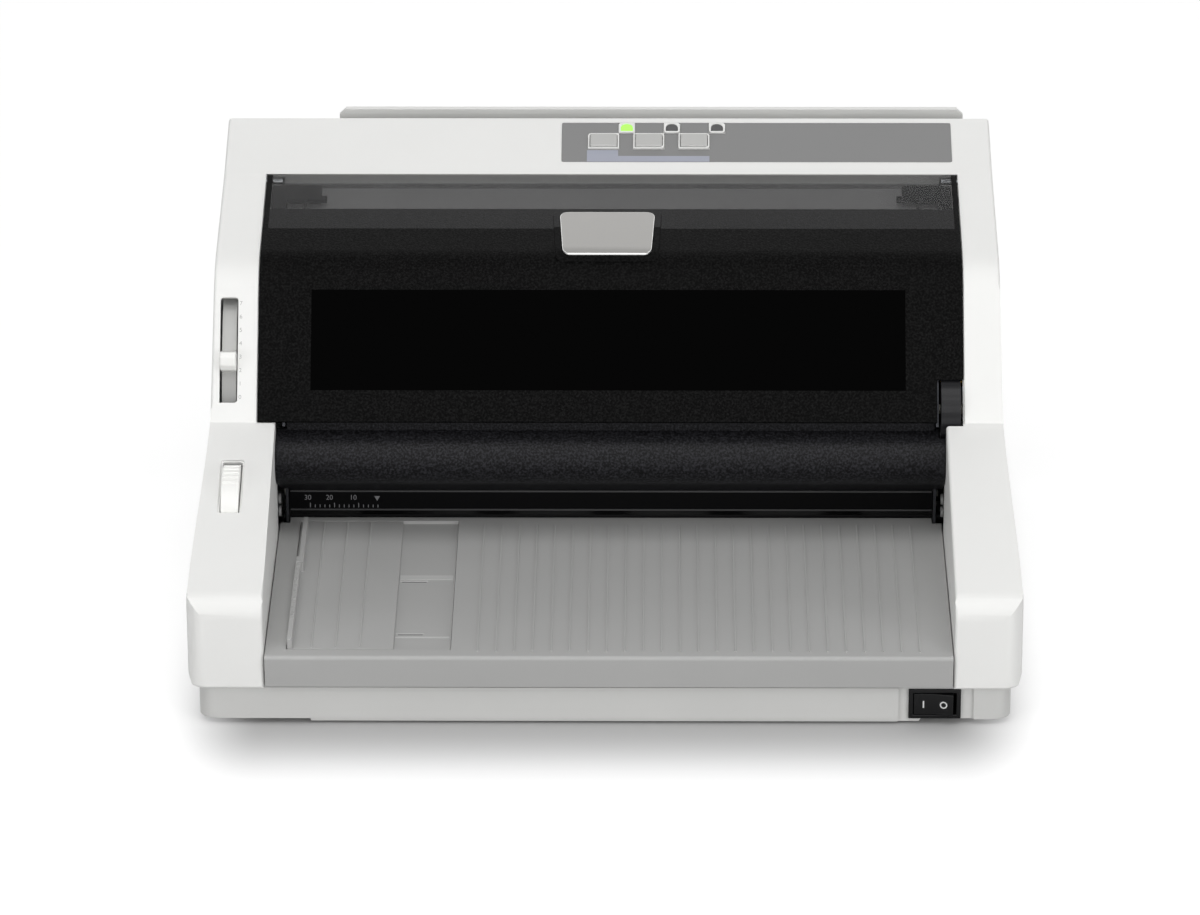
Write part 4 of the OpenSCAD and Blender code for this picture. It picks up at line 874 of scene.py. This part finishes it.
class PRINTER_OT_cover(bpy.types.Operator):
    """Dresses the smoked cover with its window and band, its pins, lugs and blank plate."""

    bl_idname = "printer.cover"
    bl_label = "Cover"

    def execute(self, context):
        cover = softened("acoustic_cover", 0.36)
        left, right = mm(-151.5, 0, 0).x, mm(153, 0, 0).x  # the window's sides
        low, high = mm(0, 136, 0).y, mm(0, 164.6, 0).y  # its lower and upper edge
        step, clear = mm(0, 202, 0).y, mm(0, 218.5, 0).y  # where the two bands begin
        ends = mm(-175.6, 0, 0).x, mm(179.6, 0, 0).x  # the bands' ends
        cuts = [(x, (1, 0, 0)) for x in (left, right, *ends)]
        cuts += [(y, (0, 1, 0)) for y in (low, high, step, clear)]
        for at, normal in cuts:
            bmesh.ops.bisect_plane(
                cover,
                geom=cover.verts[:] + cover.edges[:] + cover.faces[:],
                dist=1e-7,
                plane_co=Vector(normal) * at,
                plane_no=normal,
            )
        repaint(cover, 1, lambda p: left < p.x < right and low < p.y < high)
        repaint(cover, 2, lambda p: ends[0] < p.x < ends[1] and step < p.y < clear)
        repaint(cover, 3, lambda p: ends[0] < p.x < ends[1] and p.y > clear)
        looks = [FINISHES[key] for key in ("cover", "window", "fine", "band")]
        piece("cover_shell", cover, "cover", "smoked_cover", *looks, replaces=["acoustic_cover"])
        dressed("cover_hinge_pins", "cover_pins", "steel_bright", 0.25, FINISHES["bar"])
        self.plate()
        self.lugs()
        return {"FINISHED"}

    def plate(self):
        """The blank plate, brushed in front, with a painted highlight along its rounded rim."""
        plate = softened("badge_plate", 0.6)
        out = max(plate.faces, key=lambda face: face.calc_area() * face.normal.z).normal.copy()
        # its bevel faces take the pale rim finish: a painted highlight
        for face in plate.faces:
            if 0.05 < face.normal.dot(out) < 0.985:
                face.material_index = 1
        looks = FINISHES["badge"], FINISHES["rim"]
        piece("blank_plate", plate, "cover", "badge_silver", *looks, replaces=["badge_plate"])

    def lugs(self):
        """Dark hinge lugs under the band, one at each back corner, with two ribs each."""
        crown = slope(*CROWN)
        mesh = bmesh.new()
        for side in (-1, 1):
            outer = 2 + side * 177.5
            inner = outer - side * 26
            x0, x1 = sorted((outer, inner))
            block(mesh, x0, x1, -21, -8, -5.6, -2.6, 0.4)
            x0, x1 = sorted((outer, outer - side * 8))
            block(mesh, x0, x1, -30, -20, -5.6, -2.6, 0.4)
            for x in (inner + side * 8, inner + side * 19):
                block(mesh, x - 0.7, x + 0.7, -29, -20.5, -5.2, -2.6, 0.2)
            x0, x1 = sorted((inner, inner - side * 3))
            block(mesh, x0, x1, -21, -17.5, -5, -2.6, 0.3)
        onto(mesh, crown)
        piece("cover_lugs", mesh, "cover", "cover_black", FINISHES["strip"])


class PRINTER_OT_panel(bpy.types.Operator):
    """Dresses the control panel: film, tinted zones, buttons and lamp windows."""

    bl_idname = "printer.panel"
    bl_label = "Control panel"

    def execute(self, context):
        dressed("control_panel", "panel_film", "panel_grey", 0.12, FINISHES["film"])
        zones = bmesh.new()
        block(zones, -11.2, 5.2, 9.5, 18.6, -0.99, -0.94)
        block(zones, 5.2, 53.2, 9.5, 13.9, -0.99, -0.94)
        onto(zones, BROW)
        piece("panel_zones", zones, "printer_frame", "panel_grey", FINISHES["zone"])
        for side in ("left", "middle", "right"):
            dressed(f"{side}_button", f"{side}_key", "button_grey", 0.7, FINISHES["key"])
        lenses = softened("indicator_lenses", 0.2)
        repaint(lenses, 1, lambda p: p.x > mm(20, 0, 0).x)  # only the left one is lit
        piece(
            "lamp_windows",
            lenses,
            "printer_frame",
            "lens_green",
            FINISHES["lamp_on"],
            FINISHES["lamp_off"],
            replaces=["indicator_lenses"],
        )
        paint("panel_board", FINISHES["panel_board"])
        return {"FINISHED"}


class PRINTER_OT_front(bpy.types.Operator):
    """Dresses the lower front cover and the paper scale with its ticks and digits."""

    bl_idname = "printer.front"
    bl_label = "Front cover and scale"

    def execute(self, context):
        s = sizes()
        dressed("lower_front_cover", "front_roll", "cover_black", 0.3, FINISHES["black"])
        dressed("entry_scale_strip", "scale_strip", "cover_black", 0.3, FINISHES["strip"])
        self.lips()
        ticks = bmesh.new()
        for i in range(15):
            x = -153.6 + i * 2.5
            tall = 2.4 if i % 5 == 0 else 1.5
            block(ticks, x - 0.2, x + 0.2, 1.2, 1.2 + tall, 0.005, 0.04)
        onto(ticks, STRIP)
        marks = [ticks]
        for text, x in (("30", -154.9), ("20", -143.7), ("10", -131.4)):
            marks.append(digits(text, s.print_height, STRIP, x, 6.4, 0.02))
        arrow = bmesh.new()
        point_down = Matrix.Rotation(math.pi / 3, 4, "Z")
        disc(arrow, 1.7, 0.04, Matrix.Translation((-0.119, 0.0064, 0.00003)) @ point_down, 3)
        onto(arrow, STRIP)
        marks.append(arrow)
        piece("scale_marks", merged(marks), "printer_frame", "cover_black", FINISHES["dim_mark"])
        return {"FINISHED"}

    def lips(self):
        """The lip behind the cover's lower edge, the scale's two edges and the cheeks' bosses."""
        lip = bmesh.new()
        bar(lip, mm(-164, 133, 104.6), mm(168, 135.2, 109.2), 0.4)
        piece("roll_lip", lip, "printer_frame", "cover_black", FINISHES["black"])
        # grey strips on the scale's two edges: painted highlight
        beads = bmesh.new()
        bar(beads, mm(-164, 147.5, 63.95), mm(168, 148.6, 64.95), 0.4)
        bar(beads, mm(-164, 146.8, 54.0), mm(168, 147.45, 54.9), 0.2)
        piece("entry_beads", beads, "printer_frame", "cover_black", FINISHES["bead"])
        lobes = bmesh.new()
        sideways = Matrix.Rotation(math.pi / 2, 4, "Y")
        for x in (-168.8, 172.8):
            for up in (64.0, 57.0):
                disc(lobes, 2.8, 1.2, Matrix.Translation(mm(x, 139.5, up)) @ sideways)
        piece("cheek_bosses", lobes, "printer_frame", "cover_black", FINISHES["lobe"])


class PRINTER_OT_tray(bpy.types.Operator):
    """Dresses the ribbed paper tray and its sliding edge guide."""

    bl_idname = "printer.tray"
    bl_label = "Paper tray"

    def execute(self, context):
        dressed("sheet_tray", "tray_shell", "tray_grey", 0.16, FINISHES["tray"])
        dressed("sheet_guide", "edge_slider", "tray_grey", 0.2, FINISHES["tray"])
        self.knurl()
        self.rails()
        return {"FINISHED"}

    def knurl(self):
        """Fine grip ridges along the top of the slider's fence."""
        mesh = bmesh.new()
        pitch = 1.8
        for i in range(34):
            v = 30 + i * pitch
            block(mesh, -158.0, -155.6, v, v + 0.9, 5.3, 5.9, 0.15)
        onto(mesh, TRAY)
        piece("slider_grip", mesh, "edge_guide", "tray_grey", FINISHES["tray"])

    def rails(self):
        """The shallow rails and slots in the floor of the slider's bay: pale rails as painted
        highlight, slots as thin dark sheets of painted shade.
        """
        mesh = bmesh.new()
        for x1, v0, v1 in (
            (-77.7, 84.0, 88.4),
            (-90.5, 81.9, 83.0),
            (-77.7, 22.8, 24.2),
            (-90.5, 26.8, 27.6),
        ):
            block(mesh, -104.8, x1, v0, v1, -1.75, -1.46, 0.1)
        block(mesh, -77.2, -76.85, 9, 144, -1.75, -0.3, 0.1)
        onto(mesh, TRAY)
        piece("slider_rails", mesh, "printer_frame", "tray_grey", FINISHES["rail"])
        mesh = bmesh.new()
        for v in (80.9, 25.6):
            block(mesh, -103.6, -91.2, v, v + 0.8, -1.75, -1.66)
        onto(mesh, TRAY)
        piece("slider_slots", mesh, "printer_frame", "tray_grey", FINISHES["slot"])


class PRINTER_OT_controls(bpy.types.Operator):
    """Dresses the levers with their scales, the feed knob and the power switch."""

    bl_idname = "printer.controls"
    bl_label = "Levers, knob and switch"

    def execute(self, context):
        dressed("thickness_lever", "gap_lever_white", "lever_white", 0.7, FINISHES["lever"])
        dressed(
            "paper_select_lever", "select_lever_white", "lever_white", 0.35, FINISHES["lever"]
        )
        dressed("feed_knob", "knob_grip", "knob_black", 0.15, FINISHES["knob"])
        dressed("power_switch_body", "switch_bezel", "switch_black", 0.4, FINISHES["switch"])
        dressed("power_switch_rocker", "switch_rocker", "switch_black", 0.3, FINISHES["switch"])
        dressed("rear_sheet_guide", "rear_guide_plate", "guide_grey", 0.45, FINISHES["guide"])
        marks = [digits(str(i), 2.2, HOOD, -187.6, 13 + i * 7, -0.98) for i in range(8)]
        piece("lever_digits", merged(marks), "printer_frame", "case_white", FINISHES["mark"])
        self.shutter()
        self.rocker_marks()
        return {"FINISHED"}

    def shutter(self):
        """A curved skirt on the thickness lever that closes its slot from behind."""
        pivot = mm(0, 222.96, 94.42)  # the lever's own
        left, right = -0.1973, -0.1899
        inner, outer = 0.0842, 0.0856  # radii of the skirt
        middle, reach = 151.1, 32  # its direction from the pivot and half its turn, degrees
        mesh = bmesh.new()
        corners = [(left, inner), (right, inner), (right, outer), (left, outer)]
        mesh.faces.new([mesh.verts.new((x, out, 0)) for x, out in corners])
        turn = Matrix.Rotation(math.radians(middle - reach), 4, "X")
        bmesh.ops.transform(mesh, matrix=Matrix.Translation(pivot) @ turn, verts=mesh.verts)
        bmesh.ops.spin(
            mesh,
            geom=mesh.verts[:] + mesh.edges[:] + mesh.faces[:],
            cent=pivot,
            axis=(1, 0, 0),
            dvec=(0, 0, 0),
            angle=math.radians(2 * reach),
            steps=32,
            use_duplicate=False,
        )
        bmesh.ops.recalc_face_normals(mesh, faces=mesh.faces)
        piece("slot_shutter", mesh, "gap_lever", "lever_white", FINISHES["shutter"])

    def rocker_marks(self):
        """A line on the pressed half of the rocker and a ring on the other."""
        flats = []
        rest = Matrix.Rotation(math.radians(-6), 4, "Z")  # the rocker's turn at rest
        face = Matrix.Translation(mm(164.3, 9.2, 11.35)) @ rest
        tilt = math.atan2(1.0, 9.8)  # the slope of each half of its face
        for x, side in ((-5.0, -1), (5.0, 1)):
            flat = bmesh.new()
            if side < 0:
                bar(flat, Vector((-0.35, -1.9, 0)) / 1000, Vector((0.35, 1.9, 0.04)) / 1000)
            else:
                bmesh.ops.create_circle(flat, segments=28, radius=0.0019)
                grown = bmesh.ops.extrude_edge_only(flat, edges=flat.edges[:])["geom"]
                verts = [v for v in grown if isinstance(v, bmesh.types.BMVert)]
                bmesh.ops.scale(flat, vec=(0.66, 0.66, 1), verts=verts)
                bmesh.ops.solidify(flat, geom=flat.faces[:], thickness=0.00004)
            bmesh.ops.recalc_face_normals(flat, faces=flat.faces)
            depth = 5.6 + abs(x) * math.tan(tilt)
            stand = Matrix.Translation((x / 1000, -(depth + 0.03) / 1000, 0))
            stand = stand @ Matrix.Rotation(-side * tilt, 4, "Z")
            stand = stand @ Matrix.Rotation(math.pi / 2, 4, "X")
            bmesh.ops.transform(flat, matrix=face @ stand, verts=flat.verts)
            flats.append(flat)
        piece("rocker_marks", merged(flats), "rocker", "switch_black", FINISHES["pale_mark"])


class PRINTER_OT_sockets(bpy.types.Operator):
    """Dresses the inlet and the sockets at the back."""

    bl_idname = "printer.sockets"
    bl_label = "Inlet and sockets"

    def execute(self, context):
        dressed("ac_inlet", "mains_inlet", "switch_black", 0.5, FINISHES["strip"])
        dressed("data_ports", "socket_shells", "port_metal", 0.3, FINISHES["shell"])
        return {"FINISHED"}


class PRINTER_OT_works(bpy.types.Operator):
    """Dresses the paper feed, the carriage and the rest of the works under the cover."""

    bl_idname = "printer.works"
    bl_label = "Works"

    def execute(self, context):
        # Fewer steps and one pass: these are seen small, through the cover or from behind
        rounding = {"segments": 2, "shares": (1.0,), "tries": 6}
        for node, slot, edge, key in (
            ("knob_gear", "gear_acetal", 0.12, "acetal"),
            ("platen_gear", "gear_acetal", 0.12, "acetal"),
            ("upper_idler_gear", "gear_acetal", 0.12, "acetal"),
            ("lower_idler_gear", "gear_acetal", 0.12, "acetal"),
            ("rear_idler_gear", "gear_acetal", 0.12, "acetal"),
            ("tractor_idler_gear", "gear_acetal", 0.12, "acetal"),
            ("motor_pinion", "pinion_brass", 0.1, "brass"),
            ("gear_studs", "steel_bright", 0.2, "bar"),
            ("left_side_plate", "steel_sheet", 0.2, "motor"),
            ("right_side_plate", "steel_sheet", 0.2, "motor"),
            ("chassis_floor", "steel_sheet", 0.2, "sheet"),
            ("paper_guide_plate", "steel_sheet", 0.2, "coated"),
            ("rear_rail", "steel_sheet", 0.2, "sheet"),
            ("platen_roller", "roller_rubber", 0.4, "platen"),
            ("front_feed_roller", "roller_rubber", 0.2, "platen"),
            ("rear_feed_roller", "roller_rubber", 0.2, "platen"),
            ("front_pinch_roller", "pinch_plastic", 0.25, "pinch"),
            ("rear_pinch_roller", "pinch_plastic", 0.25, "pinch"),
            ("tractor_shaft", "steel_bright", 0.2, "bar"),
            ("tractor_guide_rod", "steel_bright", 0.2, "bar"),
            ("left_tractor", "tractor_black", 0.3, "dark"),
            ("right_tractor", "tractor_black", 0.3, "dark"),
            ("left_tractor_flap", "flap_blue", 0.25, "flap"),
            ("right_tractor_flap", "flap_blue", 0.25, "flap"),
            ("line_feed_motor", "motor_dark", 0.1, "motor"),
            ("carriage_motor", "motor_dark", 0.6, "motor"),
            ("carriage_shaft", "steel_bright", 0.3, "bar"),
            ("carriage", "tractor_black", 0.4, "dark"),
            ("print_head", "head_metal", 0.3, "head"),
            ("ribbon_cartridge", "tractor_black", 0.8, "dark"),
            ("ink_ribbon", "ribbon_ink", 0.05, "ribbon"),
            ("drive_pulley", "gear_acetal", 0.2, "acetal"),
            ("idler_pulley", "gear_acetal", 0.2, "acetal"),
            ("timing_belt", "belt_rubber", 0.2, "belt"),
            ("main_board", "board_green", 0.2, "board"),
            ("power_supply", "board_green", 0.2, "supply"),
        ):
            dressed(node, node + "_dressed", slot, edge, FINISHES[key], **rounding)
        return {"FINISHED"}


class PRINTER_PT_panel(bpy.types.Panel):
    """Lists the printer's sizes, colours and builders."""

    bl_idname = "PRINTER_PT_panel"
    bl_label = "Dot Matrix Printer"
    bl_space_type = "VIEW_3D"
    bl_region_type = "UI"
    bl_category = "Printer"

    def draw(self, context):
        layout = self.layout
        for group in (context.scene.printer_sizes, context.scene.printer_colours):
            box = layout.box()
            for name in group.__annotations__:
                box.prop(group, name)
        for operator in OPERATORS:
            layout.operator(operator.bl_idname)


OPERATORS = (
    PRINTER_OT_stage,
    PRINTER_OT_case,
    PRINTER_OT_cover,
    PRINTER_OT_panel,
    PRINTER_OT_front,
    PRINTER_OT_tray,
    PRINTER_OT_controls,
    PRINTER_OT_sockets,
    PRINTER_OT_works,
)
CLASSES = (PrinterSizes, PrinterColours, *OPERATORS, PRINTER_PT_panel)


def register():
    for made in CLASSES:
        bpy.utils.register_class(made)
    bpy.types.Scene.printer_sizes = bpy.props.PointerProperty(type=PrinterSizes)
    bpy.types.Scene.printer_colours = bpy.props.PointerProperty(type=PrinterColours)


def unregister():
    del bpy.types.Scene.printer_colours
    del bpy.types.Scene.printer_sizes
    for made in reversed(CLASSES):
        bpy.utils.unregister_class(made)


def main():
    register()
    FINISHES.update(make_finishes())
    for operator in OPERATORS:
        group, name = operator.bl_idname.split(".")
        getattr(getattr(bpy.ops, group), name)()


if __name__ == "__main__":
    main()
